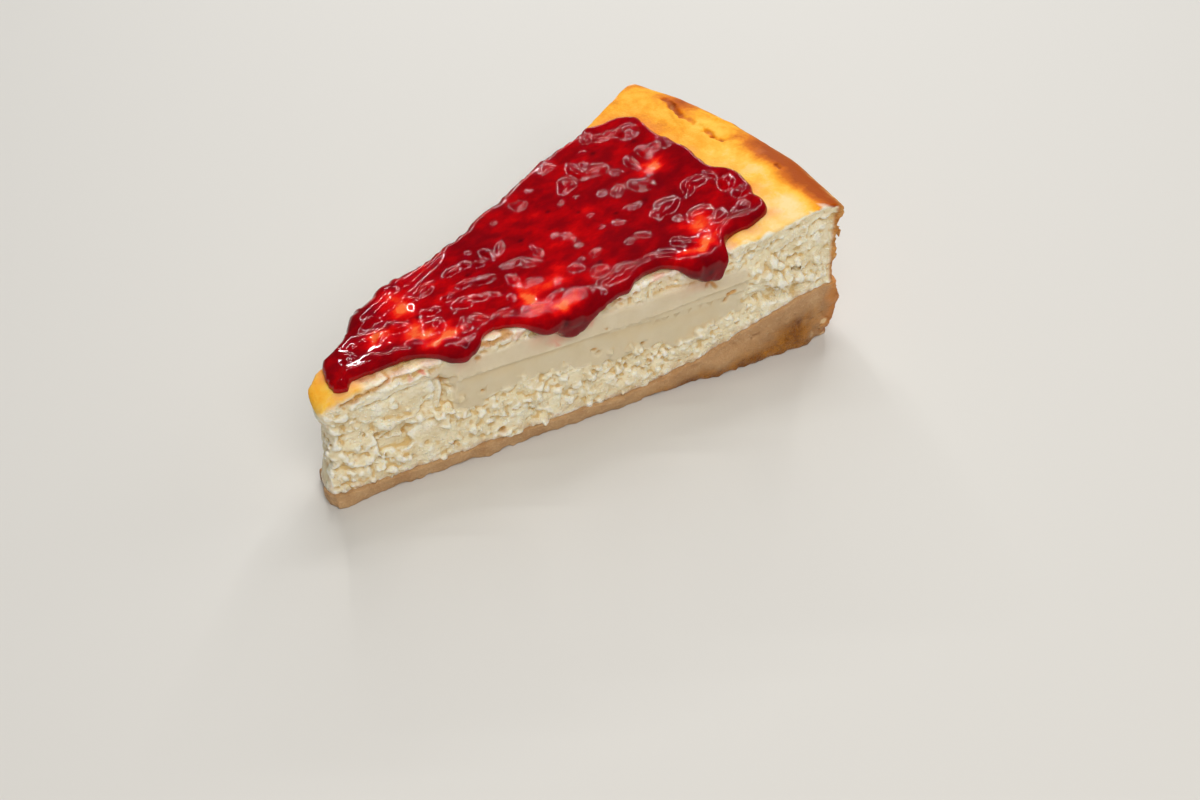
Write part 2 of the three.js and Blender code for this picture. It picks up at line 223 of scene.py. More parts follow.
LUMPS = [  # fruit in the jam: x, y, half length, half width, turn
    (11.4, 3.4, 1.8, 0.7, -1.0), (8.7, -0.6, 1.6, 1.2, 0.4), (6.0, -2.6, 1.5, 1.2, 0.5),
    (16.6, -2.0, 2.6, 0.8, -0.4), (20.0, -3.6, 1.6, 0.8, -0.7), (21.0, 11.6, 1.2, 0.9, -0.8),
    (22.7, 7.8, 1.2, 0.8, -0.6), (29.3, 13.4, 2.1, 1.5, 0.4), (33.0, 13.8, 2.3, 1.1, 1.2),
    (31.8, 8.4, 1.5, 0.9, -0.8), (36.3, 8.2, 2.8, 1.2, 0.3), (20.2, 3.0, 1.9, 1.2, 0.1),
    (24.7, 2.8, 2.2, 1.6, -0.2), (33.2, 1.8, 1.9, 1.1, -0.5), (37.9, 2.8, 1.0, 0.9, 0.0),
    (30.4, -2.6, 2.5, 1.6, 0.2), (24.3, -4.2, 1.5, 1.2, -0.7), (38.9, -0.9, 1.9, 1.3, 0.0),
    (43.0, -2.2, 1.8, 1.0, -0.4), (43.6, 3.2, 1.8, 0.8, -0.2), (47.2, 1.4, 2.2, 1.1, -0.6),
    (43.9, 8.7, 1.9, 0.9, 0.1), (47.1, 8.0, 1.1, 1.0, 1.2), (49.3, 6.2, 1.6, 0.7, -0.7),
    (52.9, 7.4, 1.9, 1.3, 1.4), (56.1, 7.2, 1.9, 0.9, 0.9), (54.8, 1.1, 1.9, 0.9, -0.2),
    (57.4, -0.8, 2.6, 1.3, -0.9), (62.1, 0.9, 2.4, 0.8, 1.5), (51.6, -3.4, 1.9, 1.0, 1.5),
    (53.8, -6.7, 2.1, 0.8, -0.5), (46.0, -3.8, 0.8, 0.6, 1.3), (47.8, -7.8, 1.2, 0.8, 1.4),
    (42.9, -9.3, 2.1, 0.8, -0.1), (38.8, -7.0, 1.8, 0.8, -1.0), (35.0, -6.7, 2.4, 0.9, 0.8),
    (28.6, -8.4, 2.0, 1.2, 0.2), (33.6, -9.0, 1.7, 1.0, -0.2), (58.1, -10.2, 1.3, 0.7, -0.6),
    (49.5, -13.0, 2.6, 0.8, -0.5), (54.6, -13.6, 2.4, 1.1, 0.1), (59.0, -15.6, 1.9, 1.0, -0.3),
    (61.3, -17.6, 1.9, 1.0, 0.6), (63.6, -9.6, 1.3, 0.9, 0.3), (82.5, 21.6, 1.8, 1.0, 0.1),
    (69.1, 16.0, 1.6, 1.2, 0.0), (61.0, 15.0, 0.8, 0.6, 0.0), (81.4, 13.2, 3.0, 1.5, 0.8),
    (86.8, 15.4, 3.4, 1.3, 1.5), (90.3, 12.6, 2.6, 1.8, -0.3), (90.0, 16.5, 0.9, 0.8, 0.0),
    (93.0, 8.8, 1.7, 0.8, -0.7), (97.6, 24.0, 1.5, 1.3, 0.4), (99.2, 21.4, 1.8, 1.3, -0.4),
    (102.2, 21.2, 1.5, 0.9, -0.5), (105.0, 18.4, 2.5, 2.0, -0.3), (98.0, 8.6, 2.8, 1.1, 1.5),
    (99.9, 3.9, 1.8, 0.8, -0.5), (102.7, 9.8, 2.5, 1.2, 1.5), (105.4, 9.4, 1.7, 1.4, 0.2),
    (108.4, 8.4, 2.1, 1.3, 1.2), (85.8, 5.2, 1.0, 0.9, 0.0), (88.6, 3.6, 2.0, 1.1, 0.4),
    (94.0, 1.2, 2.9, 1.5, -0.7), (69.1, 0.5, 2.0, 0.9, -1.0), (78.5, 1.9, 0.7, 0.6, 0.0),
    (77.7, -2.9, 0.7, 0.6, 0.0), (81.2, -4.6, 1.3, 0.7, -0.6), (87.5, -3.1, 2.5, 0.7, 0.0),
    (89.0, -9.6, 1.8, 1.2, 0.5), (93.3, -8.4, 3.0, 1.9, 0.1), (100.2, -7.6, 2.4, 1.4, 0.6),
    (103.2, -7.0, 2.0, 1.2, -0.4), (106.6, -7.8, 1.5, 0.9, -0.9), (107.4, -13.0, 2.2, 1.7, 0.5),
    (107.2, -17.6, 2.0, 1.5, -0.6), (96.3, -15.6, 3.2, 2.0, -0.3), (98.0, -19.4, 2.9, 1.0, 0.2),
    (104.3, -21.2, 1.4, 1.2, 0.2), (91.4, -13.3, 1.4, 0.8, -0.8), (81.8, -12.3, 1.5, 1.1, -0.2),
    (77.9, -11.3, 0.8, 0.7, 0.0), (70.6, -9.0, 1.1, 0.9, 0.3), (64.1, -9.8, 1.5, 1.0, -0.3),
    (67.0, -8.3, 0.6, 0.5, 0.0), (66.8, -14.0, 2.2, 1.2, -0.2), (66.0, -17.4, 2.6, 1.0, 0.3),
    (69.6, -16.8, 2.2, 1.0, 0.5), (72.4, -17.2, 1.5, 0.9, -0.8), (77.9, -19.0, 1.3, 0.9, 0.0),
    (81.6, -19.6, 2.2, 0.9, -0.6), (85.8, -19.0, 1.4, 1.3, 0.0), (88.2, -21.6, 2.8, 1.3, -0.6),
    (91.6, -21.7, 1.7, 0.9, 0.2), (96.0, -23.6, 2.2, 1.0, 0.2), (99.4, -22.8, 2.0, 1.0, -0.2),
    (102.6, -24.6, 2.2, 1.2, -0.8), (30.8, -12.4, 1.8, 1.4, 0.3), (50.5, -17.4, 2.2, 1.5, 0.4),
    (54.6, -19.2, 2.0, 1.4, -0.4), (58.6, -20.4, 2.0, 1.3, 0.3), (54.4, -23.0, 1.7, 1.3, 0.2),
    (58.4, -24.2, 1.4, 1.1, 0.0), (62.6, -20.6, 1.6, 1.2, -0.4), (84.6, -26.4, 2.0, 1.2, 1.0),
    (88.4, -27.0, 1.6, 1.1, 0.0), (86.0, -30.6, 1.6, 1.3, 0.4), (89.6, -31.6, 1.5, 1.1, -0.3),
    (91.4, -28.6, 1.2, 1.0, 0.2),
]
LUMP_STEEPNESS = 0.4
DIMPLES = 30  # small grains of fruit between the lumps

SEEDS = [  # x and y of dark seeds in the jam
    (29.5, 2.1), (24.5, -3.6), (45.6, 5.2), (57.0, -13.4), (77.3, 4.4), (104.0, 14.4), (90.9, -3.4),
    (83.0, -2.0), (72.5, 9.5), (61.5, 6.0), (69.0, -12.0), (52.6, -18.6), (31.4, -11.0),
    (87.0, -28.6), (94.5, 18.5),
]

# Stage, light and camera, metres in the shared frame
FLOOR_HALF = 3.0
SKY_STRENGTH = 0.06
CAMERA = Vector((-0.18185, -0.2172, 0.2535))
AIM = Vector((0.00125, -0.0162, 0.0))
LENS = 48.0
SENSOR_WIDTH = 36.0


# Numbers and noise


def smooth(value, low=0.0, high=1.0):
    t = np.clip((value - low) / (high - low), 0, 1)
    return t * t * (3 - 2 * t)


def lerp(a, b, t):
    return a + (b - a) * t


def line_through(points, x):
    return np.interp(x, [p[0] for p in points], [p[1] for p in points])


def plain_noise(x, y, size, seed):
    """The noise of the solids, from 0 to 1, so that both wave alike."""

    def value(i, j):
        s = np.sin(i * 127.1 + j * 311.7 + seed * 74.7) * 43758.5453
        return s - np.floor(s)

    x, y = np.asarray(x, float) / size, np.asarray(y, float) / size
    i, j = np.floor(x), np.floor(y)
    a, b = smooth(x - i), smooth(y - j)
    low = lerp(value(i, j), value(i + 1, j), a)
    high = lerp(value(i, j + 1), value(i + 1, j + 1), a)
    return lerp(low, high, b)


def sway(x, y, size, seed):
    """The same noise, from -0.5 to 0.5."""
    return plain_noise(x, y, size, seed) - 0.5


CELLS = 128
RANDOM = np.random.default_rng(12).random((CELLS,) * 3, dtype=np.float32)


def random_at(cell, seed):
    i, j, k = cell
    return RANDOM[(i + 31 * seed) % CELLS, (j + 57 * seed) % CELLS, (k + 11 * seed) % CELLS]


def noise(p, size, seed):
    """Smooth noise from -1 to 1 at the points p, three rows of numbers."""
    q = [c / s for c, s in zip(p, np.broadcast_to(size, 3))]
    low = [np.floor(c).astype(np.int32) for c in q]
    t = [smooth(c - i) for c, i in zip(q, low)]
    total = 0
    for corner in itertools.product((0, 1), repeat=3):
        weight = 1
        for share, step in zip(t, corner):
            weight = weight * (share if step else 1 - share)
        total = total + weight * random_at([i + s for i, s in zip(low, corner)], seed)
    return 2 * total - 1


def crumbs(p, size, seed):
    """The nearest of the crumbs scattered one to a cell: its distance in cells, its own
    random number, and the way to it."""
    q = [c / s for c, s in zip(p, np.broadcast_to(size, 3))]
    low = [np.floor(c - 0.5).astype(np.int32) for c in q]
    best = np.full(q[0].shape, 9.0, np.float32)
    own = np.zeros_like(best)
    way = [np.zeros_like(best) for _ in range(3)]
    for corner in itertools.product((0, 1), repeat=3):
        cell = [i + s for i, s in zip(low, corner)]
        offset = [
            i + 0.5 + 0.7 * (random_at(cell, seed + 5 + axis) - 0.5) - c
            for axis, (i, c) in enumerate(zip(cell, q))
        ]
        distance = sum(o * o for o in offset)
        closer = distance < best
        best = np.where(closer, distance, best)
        own = np.where(closer, random_at(cell, seed), own)
        way = [np.where(closer, o, w) for o, w in zip(offset, way)]
    return np.sqrt(best), own, way


# Outline and heights of the slice. Its outer ring stands a little higher than the solid's.


def cut_distance(x, side):
    return lerp(TIP_NEAR if side < 0 else TIP_FAR, CORNER_Y, x / CORNER_X)


def across_slice(x, y):
    """From -1 at the near cut to 1 at the far one."""
    return np.clip(np.where(y < 0, y / cut_distance(x, -1), y / cut_distance(x, 1)), -1.3, 1.3)


def top_edge(x, side):
    """How far the upper edge of a cut lies from the middle line."""
    lean = FAR_LEAN * smooth(x, 65, 98) if side > 0 else 0
    return cut_distance(x, side) - lean


def edge_beside(x, w):
    """How far out the upper edge of the cut lies on the point's side of the middle line."""
    return np.where(w < 0, top_edge(x, -1), top_edge(x, 1))


def distance_to_wall(x, y):
    return CAKE_RADIUS - FILLING_OUTER_INSET - np.hypot(x - APEX, y)


def top_height(x, y):
    rim = RIM_LIFT * smooth(x, RIM_LIFT_START, RIM_LIFT_END)
    over = np.clip(1 - distance_to_wall(x, y) / SHOULDER_WIDTH, 0, 1)
    shoulder = SHOULDER_DROP * (1 - np.sqrt(1 - over * over))
    nose = np.clip(1 - x / TIP_NOSE, 0, 1)
    drop = TIP_DROP * (1 - np.sqrt(1 - nose * nose))
    return TIP_HEIGHT + TOP_SLOPE * x + rim + rim_wave(x, y) - shoulder - drop


def rim_wave(x, y):
    """The outer ring rises towards the near corner and a little behind its middle."""
    rise = 0.9 * np.exp(-(((y + 16) / 9) ** 2)) + 0.5 * smooth(y, -12, 2) * smooth(y, 30, 20)
    return rise * smooth(distance_to_wall(x, y), 15, 3)


def pastry_height(x):
    rise = smooth(x, PASTRY_RISE_START, PASTRY_RISE_END)
    wave = PASTRY_WAVE * sway(x, 0, 9, 5)
    return lerp(PASTRY_THIN, PASTRY_THICK, rise) + wave


def to_frame(points):
    return (np.asarray(points, float) - (MIDDLE_X, MIDDLE_Y, 0)) * MM


# Meshes


def round_max(fields, rounding):
    """The greatest of the fields, with rounded edges where two are alike."""
    highest = np.maximum.reduce(fields)
    total = sum(np.exp((f - highest) / rounding) for f in fields)
    return highest + rounding * np.log(total)


def mesh_from_field(field, low, high, step, adaptivity):
    """Points and faces where field, given whole grids of x, y and z, is zero."""
    axes = [np.arange(a, b + step, step, dtype=np.float32) for a, b in zip(low, high)]
    shape = tuple(len(a) for a in axes)
    values = field(*np.meshgrid(*axes, indexing="ij", sparse=True), shape)
    grid = openvdb.FloatGrid(FIELD_REACH)
    values = np.clip(values, -FIELD_REACH, FIELD_REACH)
    grid.copyFromArray(np.ascontiguousarray(values, np.float32))
    points, triangles, quads = grid.convertToPolygons(isovalue=0.0, adaptivity=adaptivity)
    return main_body(points * step + np.array(low), triangles, quads)


def edge_pairs(triangles, quads):
    """The numbers of the points at both ends of every edge, each way round."""
    sides = [quads[:, [i, (i + 1) % 4]] for i in range(4)]
    sides += [triangles[:, [i, (i + 1) % 3]] for i in range(3)]
    pairs = np.concatenate(sides)
    return np.concatenate([pairs, pairs[:, ::-1]]).astype(np.int64).T


def main_body(points, triangles, quads):
    """Leaves out the specks that hang loose beside the greatest connected body."""
    here, there = edge_pairs(triangles, quads)
    body = np.arange(len(points))
    while (body[here] != body[there]).any():
        np.minimum.at(body, body[here], body[there])
        body = body[body]
    kept = body == np.bincount(body).argmax()
    number = np.cumsum(kept) - 1
    triangles, quads = (number[faces[kept[faces[:, 0]]]] for faces in (triangles, quads))
    return points[kept], triangles, quads


def new_piece(name, points, triangles, quads, masks, material):
    mesh = bpy.data.meshes.new(name)
    mesh.vertices.add(len(points))
    mesh.vertices.foreach_set("co", to_frame(points).astype(np.float32).ravel())
    corners = np.concatenate([np.ravel(quads), np.ravel(triangles)]).astype(np.int32)
    counts = np.concatenate([np.full(len(quads), 4), np.full(len(triangles), 3)])
    mesh.loops.add(len(corners))
    mesh.loops.foreach_set("vertex_index", corners)
    mesh.polygons.add(len(counts))
    mesh.polygons.foreach_set("loop_start", (np.cumsum(counts) - counts).astype(np.int32))
    mesh.update(calc_edges=True)
    mesh.validate()
    mesh.polygons.foreach_set("use_smooth", np.ones(len(mesh.polygons), bool))
    for mask, values in masks.items():
        layer = mesh.attributes.new(mask, "FLOAT", "POINT")
        layer.data.foreach_set("value", np.asarray(values, np.float32))
    mesh.materials.append(material)
    piece = bpy.data.objects.new(name, mesh)
    bpy.context.scene.collection.objects.link(piece)
    return piece


# Relief of the cheese. It is measured inwards from the flat cut or the smooth wall.


def domes(p, size, seed):
    """Rounded grains, 1 at the middle of each and 0 between them. Some cells are empty."""
    away, own, _ = crumbs(p, size, seed)
    return np.clip(1 - (away / 0.66) ** 2, 0, 1) * smooth(own, 0.15, 0.5)


def ledges(p, size, seed):
    """Torn ledges here and there, each forward at its ragged lower edge and hollow below."""
    x, _, z = p
    h = (LEDGE_SLOPE * x - z) / size + 1.0 * noise(p, 1.9 * size, seed)
    h = h + 0.34 * noise(p, 0.7 * size, seed + 1) + 0.14 * noise(p, 0.3 * size, seed + 2)
    share = h - np.floor(h)
    edge = smooth(share, 0.7, 1.0)
    strength = 0.12 + 0.88 * smooth(noise(p, 1.7 * size, seed + 3), -0.15, 0.5)
    return strength * lerp(1 - share, 1.0, edge)


def clefts(p, size, seed):
    """Thin wavy gaps between clumps, 1 at their middle and 0 on the clumps."""
    wave = noise(p, size, seed) + 0.45 * noise(p, 0.45 * size, seed + 1)
    return 1 - smooth(np.abs(wave), 0.0, 0.42)


def rough_crumbs(p, seed, size=3.6, depth=0.8):
    """Torn cheese: swells, a few ledges, clumps with gaps between them, patches of grains."""
    strewn = smooth(noise(p, 4.6, seed + 4), -0.35, 0.4)
    relief = depth * ledges(p, size, seed + 10) + 0.5 * noise(p, 6.0, seed + 3)
    relief = relief + 0.35 * noise(p, 2.2, seed + 6) + 0.18 * noise(p, 1.0, seed + 2)
    relief = relief + 0.45 * clefts(p, 3.4, seed + 12) + 0.28 * clefts(p, 1.7, seed + 14)
    relief = relief + 0.58 * (1 - domes(p, (1.9, 1.6, 1.6), seed)) * (0.15 + 0.85 * strewn)
    relief = relief + 0.4 * (1 - domes(p, (1.1, 1.0, 1.0), seed + 1)) * (0.3 + 0.7 * strewn)
    return relief + 0.45 * holes(p, seed + 9)


def holes(p, seed):
    """Small ragged holes in a few of the cells."""
    warped = [c + 0.5 * noise(p, 1.1, seed + 1 + axis) for axis, c in enumerate(p)]
    away, own, _ = crumbs(warped, (3.0, 2.6, 2.6), seed)
    return (own < 0.13) * (1 - smooth(away, 0.06, 0.36))


def knife_band(x, z, side):
    """1 where the knife left the cheese smooth, 0 where it crumbled."""
    along = x if side < 0 else x + 9
    ragged = 2.4 * plain_noise(x, z, 3.4, 3) + 1.8 * plain_noise(x, z, 1.5, 7) - 2.4
    foot = line_through(KNIFE_BAND_FOOT, along) + ragged
    foot = foot + (0 if side < 0 else 2.0 * sway(x, 0, 15, 9))
    top = KNIFE_BAND_TOP + 1.2 * sway(x, 3, 4, 8)
    start = KNIFE_BAND_START + 3.4 * sway(z, 1, 2.4, 4) - 6 * smooth(z, 26.5, 28.5)
    end = KNIFE_BAND_END + 5.0 * sway(z, 2, 4, 6)
    share = smooth(z - foot, 0, 0.9) * smooth(top - z, 0, 1.2)
    return share * smooth(x - start, 0, 1.2) * smooth(end - x, 0, 3)


def knife_marks(x, z):
    """Steps and faint strokes that the blade drew along the band."""
    line = line_through(KNIFE_LINE, x) + 0.25 * sway(x, 0, 5, 21)
    above = smooth(z - line, -0.15, 0.15)
    ridge = np.exp(-(((z - line - 0.25) / 0.3) ** 2))
    low_line = line_through(KNIFE_LINE_LOW, x)
    low_share = smooth(x, 64, 76)
    below = low_share * smooth(low_line - z, -0.15, 0.15)
    low_ridge = low_share * np.exp(-(((z - low_line - 0.2) / 0.25) ** 2))
    strokes = 0.1 * sway(x, z * 9, 14, 22)
    return 0.65 - 0.38 * above - 0.22 * ridge + 0.25 * below - 0.15 * low_ridge + strokes


def stroke_share(x, z, start, end, half_width, core=0.35, rim=1.5):
    """1 along a short line on the cut, falling to 0 at its half width."""
    run, rise = end[0] - start[0], end[1] - start[1]
    t = np.clip(((x - start[0]) * run + (z - start[1]) * rise) / (run * run + rise * rise), 0, 1)
    away = np.hypot(x - start[0] - t * run, z - start[1] - t * rise)
    return 1 - smooth(away, core * half_width, rim * half_width)


def warped_place(p):
    x = p[0] + 0.6 * noise(p, 1.7, 41) + 0.3 * noise(p, 0.8, 43)
    z = p[2] + 0.6 * noise(p, 1.7, 42) + 0.3 * noise(p, 0.8, 44)
    return x, z


def named_marks(x, z):
    """Pits, cracks, torn ledges and crumbs that can be told apart on the near cut."""
    total = np.zeros_like(x)
    for pit_x, pit_z, radius, depth in PITS:
        away = np.hypot(x - pit_x, z - pit_z)
        total += depth * (1 - smooth(away, 0.4 * radius, 1.4 * radius))
    for start, end, half_width, depth in STROKES:
        total += depth * stroke_share(x, z, start, end, half_width)
    for crumb_x, crumb_z, radius in LOOSE_CRUMBS:
        away = np.hypot(x - crumb_x, z - crumb_z) / radius
        total -= 1.1 * radius * np.sqrt(np.clip(1 - away**2, 0, 1))
    return total


def with_torn_places(rough, x, z):
    """Lays the smooth torn places into the crumbly relief."""
    for start, end, half_width, level in TORN_PLACES:
        share = stroke_share(x, z, start, end, half_width, 0.75, 1.15)
        rough = lerp(rough, 0.2 * rough + level, share)
    return rough


def cut_relief(p, side):
    x, _, z = p
    seed = 1 if side < 0 else 60
    band = knife_band(x, z, side)
    torn = 1 - smooth(x + 3 * noise(p, 5.0, seed + 9), 21, 28)
    outer = smooth(x + 3 * noise(p, 5.0, seed + 8), 99, 105)
    rough = rough_crumbs(p, seed)
    rough = lerp(rough, rough_crumbs(p, seed + 20, 5.6, 1.6), np.maximum(torn, outer))
    below_top = top_height(x, p[1]) - z
    at_edge = np.where(x > 99, 0.15, 0.45)
    rough = rough * (at_edge + (1 - at_edge) * smooth(below_top, 0.0, 4.0))
    over_pastry = z - pastry_height(x) + 0.8 * noise(p, 2.5, seed + 7)
    rough = rough * (0.45 + 0.3 * smooth(over_pastry, 0.2, 2.6) + 0.25 * smooth(over_pastry, 3.0, 6.0))
    spilled = smooth(over_pastry, 2.2, 0.4) * smooth(noise(p, 3.2, seed + 40), 0.0, 0.35)
    rough = rough - 1.3 * spilled * domes(p, (1.7, 1.5, 1.3), seed + 41)
    rough = rough * (1 - 0.6 * smooth(distance_to_wall(x, p[1]), 3.5, 0.5))
    smeared = knife_marks(x, z) + 0.06 * noise(p, 1.2, seed + 31)
    if side > 0:
        return lerp(rough, smeared, band)
    x, z = warped_place(p)
    rough = with_torn_places(rough, x, z)
    return lerp(rough, smeared, band) + named_marks(x, z)


def wall_relief(p):
    """The baked outer wall: gentle waves, fine grains, and flakes by the near corner."""
    _, y, z = p
    flaky = smooth(-y, 24, 32) * smooth(z, 21, 26)
    _, own, way = crumbs(p, (2.2, 2.6, 2.0), 81)
    grain, _, _ = crumbs(p, 1.3, 85)
    calm = 0.3 + 0.25 * noise(p, 7.0, 83) + 0.45 * grain**2
    return lerp(calm, 1.5 * own - 1.1 + 0.5 * way[2], flaky)


def tip_relief(p):
    x, y, z = p
    low = pastry_height(x)
    up = (z - low) / (top_height(x, y) - low)
    hollow = TIP_HOLLOW * np.sin(math.pi * np.clip(up, 0, 1) ** 0.8)
    crumbled = (rough_crumbs(p, 90, 5.0, 1.2) - 0.6) * smooth(1 - up, 0, 0.4)
    return hollow * 0.85 + crumbled * smooth(up, -0.1, 0.3)


def skin_relief(p):
    """The browned top: soft dimples, puckers along the outer ring and a few small pits."""
    x, y, _ = p
    ring = smooth(distance_to_wall(x, y), 16, 6) * smooth(x, 60, 100)
    across = plain_noise(x * 0.45 + y * 0.25, y * 0.12, 1.6, 51)
    pucker = ring * 0.5 * smooth(across, 0.72, 0.95)
    dimples = 0.16 * plain_noise(x, y, 3.5, 52) + 0.10 * plain_noise(x, y, 1.4, 53)
    torn = 0.1 + 0.4 * plain_noise(x, y, 2.6, 54) + 0.5 * plain_noise(x, y, 1.2, 59)
    peeled = peeled_edge(x, y) * torn
    return pucker + dimples + peeled + skin_folds(x, y)


def skin_folds(x, y):
    warped_x = x + 1.4 * sway(x, y, 2.2, 56) + 0.7 * sway(x, y, 0.9, 58)
    warped_y = y + 1.4 * sway(x, y, 2.2, 57)
    shares = [d * stroke_share(warped_x, warped_y, a, b, r) for a, b, r, d in SKIN_FOLDS]
    return sum(shares)


def peeled_edge(x, y):
    """1 in the strip along the near cut where the skin came off with the jam's weight."""
    width = 4.4 + 2.0 * sway(x, 2, 4, 55)
    from_cut = y + cut_distance(x, -1)
    return smooth(width - from_cut, 0, 0.8) * smooth(x, 8.5, 11) * smooth(x, 97, 93)


class Filling:
    """The cheese as a field that is negative inside, on a grid of points."""

    def near(self, x, y):
        return -(y + cut_distance(x, -1)) * math.cos(HALF_ANGLE)

    def far(self, x, y, z):
        lean = cut_distance(x, 1) - top_edge(x, 1)
        lean = lean * smooth(top_height(x, y) - z, 14, 0)
        return (y - cut_distance(x, 1) + lean) * math.cos(HALF_ANGLE)

    def wall(self, x, y, z):
        across = across_slice(x, y)
        low = pastry_height(x)
        up = np.clip((z - low) / (top_height(x, y) - low), 0, 1)
        waist = WALL_WAIST * np.sin(math.pi * up)
        return -distance_to_wall(x, y) + CORNER_ROUNDING * across**8 + waist

    def tip(self, x, y):
        across = across_slice(x, y)
        return TIP_BULGE * across**2 + TIP_SKEW * across - x

    def __call__(self, x, y, z, shape):
        top = z - top_height(x, y)
        bottom = pastry_height(x) - 0.5 - z
        plain = [self.near(x, y), self.far(x, y, z), self.wall(x, y, z), self.tip(x, y), top, bottom]
        plain = [np.broadcast_to(f, shape) for f in plain]
        values = np.maximum.reduce(plain).astype(np.float32)
        band = (values > -4.0) & (values < 1.4)
        x, y, z = [np.broadcast_to(c, shape)[band] for c in (x, y, z)]
        fields = [f[band].astype(np.float32) for f in plain]
        reliefs = [
            lambda p: cut_relief(p, -1),
            lambda p: cut_relief(p, 1),
            wall_relief,
            tip_relief,
            skin_relief,
        ]
        for index, relief in enumerate(reliefs):
            close = fields[index] > -4.0
            fields[index][close] += relief([x[close], y[close], z[close]])
        values[band] = round_max(fields, CHEESE_ROUNDING)
        return values


# Jam outline


def run_over(x, side):
    wobble = 0.7 * sway(x, side, 2.3, 12) + 0.35 * sway(x, side, 1.1, 16)
    if side < 0:
        nearby = [line_through(NEAR_EDGE, x + step) for step in (-1.4, -0.9, -0.4, 0, 0.4, 0.9, 1.4)]
        return sum(nearby) / len(nearby) + wobble
    reaches = [r * np.exp(-(np.abs((x - at) / s) ** 2.5)) for at, r, s in FAR_LOBES]
    reach = np.log(sum(np.exp(2 * r) for r in reaches)) / 2 - 0.3
    return reach + wobble + 0.9 * sway(x, side, 6, 11) - FAR_SETBACK


def jam_start(across):
    rough = 0.7 * sway(across * 8, 5, 2.0, 19)
    rounded = 1.5 * smooth(across, -0.7, -1) ** 2
    return JAM_START + JAM_START_SLANT * (across + 0.4) ** 2 + rough + rounded


def jam_end(across):
    y = OUTER_END_MIDDLE + OUTER_END_HALF * across
    nearby = [line_through(OUTER_END, y + step) for step in (-1.6, -0.8, 0, 0.8, 1.6)]
    return sum(nearby) / len(nearby) + 0.9 * sway(y, 4, 2.4, 18)


def jam_plan(along, across):
    """x and the unrolled y, which runs on down the cut faces, of a point of the sheet."""
    start, end = jam_start(across), jam_end(across)
    x = lerp(start, end, along)
    near = -top_edge(x, -1) - run_over(x, -1)
    far = top_edge(x, 1) + run_over(x, 1)
    return x, lerp(near, far, (across + 1) / 2)


def on_folded_surface(x, w, lift):
    """Lifts a point off the top or, round a quarter circle, off the cut face."""
    side = np.where(w < 0, -1.0, 1.0)
    edge = edge_beside(x, w)
    past = np.abs(w) - edge
    turn = np.clip((past / FOLD_RADIUS + 1) * math.pi / 4, 0, math.pi / 2)
    on_top = past < -FOLD_RADIUS
    on_face = past > FOLD_RADIUS
    top = top_height(x, np.where(on_top, w, side * edge))
    radius = FOLD_RADIUS + lift
    y_bend = side * (edge + radius * np.sin(turn) - FOLD_RADIUS)
    z_bend = top - FOLD_RADIUS + radius * np.cos(turn)
    y = np.where(on_top, w, np.where(on_face, side * (edge + lift), y_bend))
    z = np.where(on_top, top + lift, np.where(on_face, top - past, z_bend))
    return np.stack([x, y, z], -1)


def unrolled(points):
    """x and unrolled y of points on or near the surface of the cheese."""
    x, y, z = points.T
    side = np.where(y < 0, -1.0, 1.0)
    edge = edge_beside(x, y)
    below = np.clip(top_height(x, y) - z, 0, None)
    on_face = np.abs(y) > edge - 2.2
    return np.stack([x, np.where(on_face & (below > 0.5), side * (edge + below), y)], -1)


def jam_outline(count):
    share = np.linspace(0, 1, count)
    across = np.linspace(-1, 1, count)
    sides = [
        jam_plan(share, np.full(count, -1.0)),
        jam_plan(np.ones(count), across),
        jam_plan(share, np.full(count, 1.0)),
        jam_plan(np.zeros(count), across),
    ]
    return np.concatenate([np.stack(s, -1) for s in sides])


def distances(points, others):
    """How far each plane point lies from the nearest of the others."""
    tree = kdtree.KDTree(len(others))
    for index, (x, y) in enumerate(others):
        tree.insert((x, y, 0), index)
    tree.balance()
    return np.array([tree.find((x, y, 0))[2] for x, y in points])


def all_lumps():
    """The named lumps and small grains scattered between them, each with its height."""
    lumps = [(x, w, a, b, turn, LUMP_STEEPNESS * b + 0.08) for x, w, a, b, turn in LUMPS]
    random = np.random.default_rng(31)
    for _ in range(DIMPLES):
        along, across = random.uniform(0.03, 0.97), random.uniform(-0.95, 0.97)
        x, w = (float(v) for v in jam_plan(np.array(along), np.array(across)))
        size = random.uniform(0.45, 0.8)
        lumps.append((x, w, size, 0.8 * size, random.uniform(-1, 1), 0.3 * size))
    return lumps


def oval_place(x, w, middle_x, middle_w, half_length, half_width, turn):
    """How far along and across a turned oval each point lies, 1 at its ends and sides."""
    dx, dw = x - middle_x, w - middle_w
    along = (dx * math.cos(turn) + dw * math.sin(turn)) / half_length
    across = (dw * math.cos(turn) - dx * math.sin(turn)) / half_width
    return along, across


def jam_lumps(x, w):
    p = [x, w, np.zeros_like(x)]
    warped_x = x + 0.55 * noise(p, 2.6, 101) + 0.25 * noise(p, 1.2, 102)
    warped_w = w + 0.55 * noise(p, 2.6, 103) + 0.25 * noise(p, 1.2, 104)
    total = np.zeros_like(x)
    for *oval, height in all_lumps():
        away = np.hypot(*oval_place(warped_x, warped_w, *oval))
        total = total + height * np.exp(-1.1 * away**3.2)
    wrinkles = 0.04 * noise(p, 1.5, 105)
    return 1.6 * np.tanh(total / 1.6) + wrinkles * np.clip(1.5 * total, 0, 1)


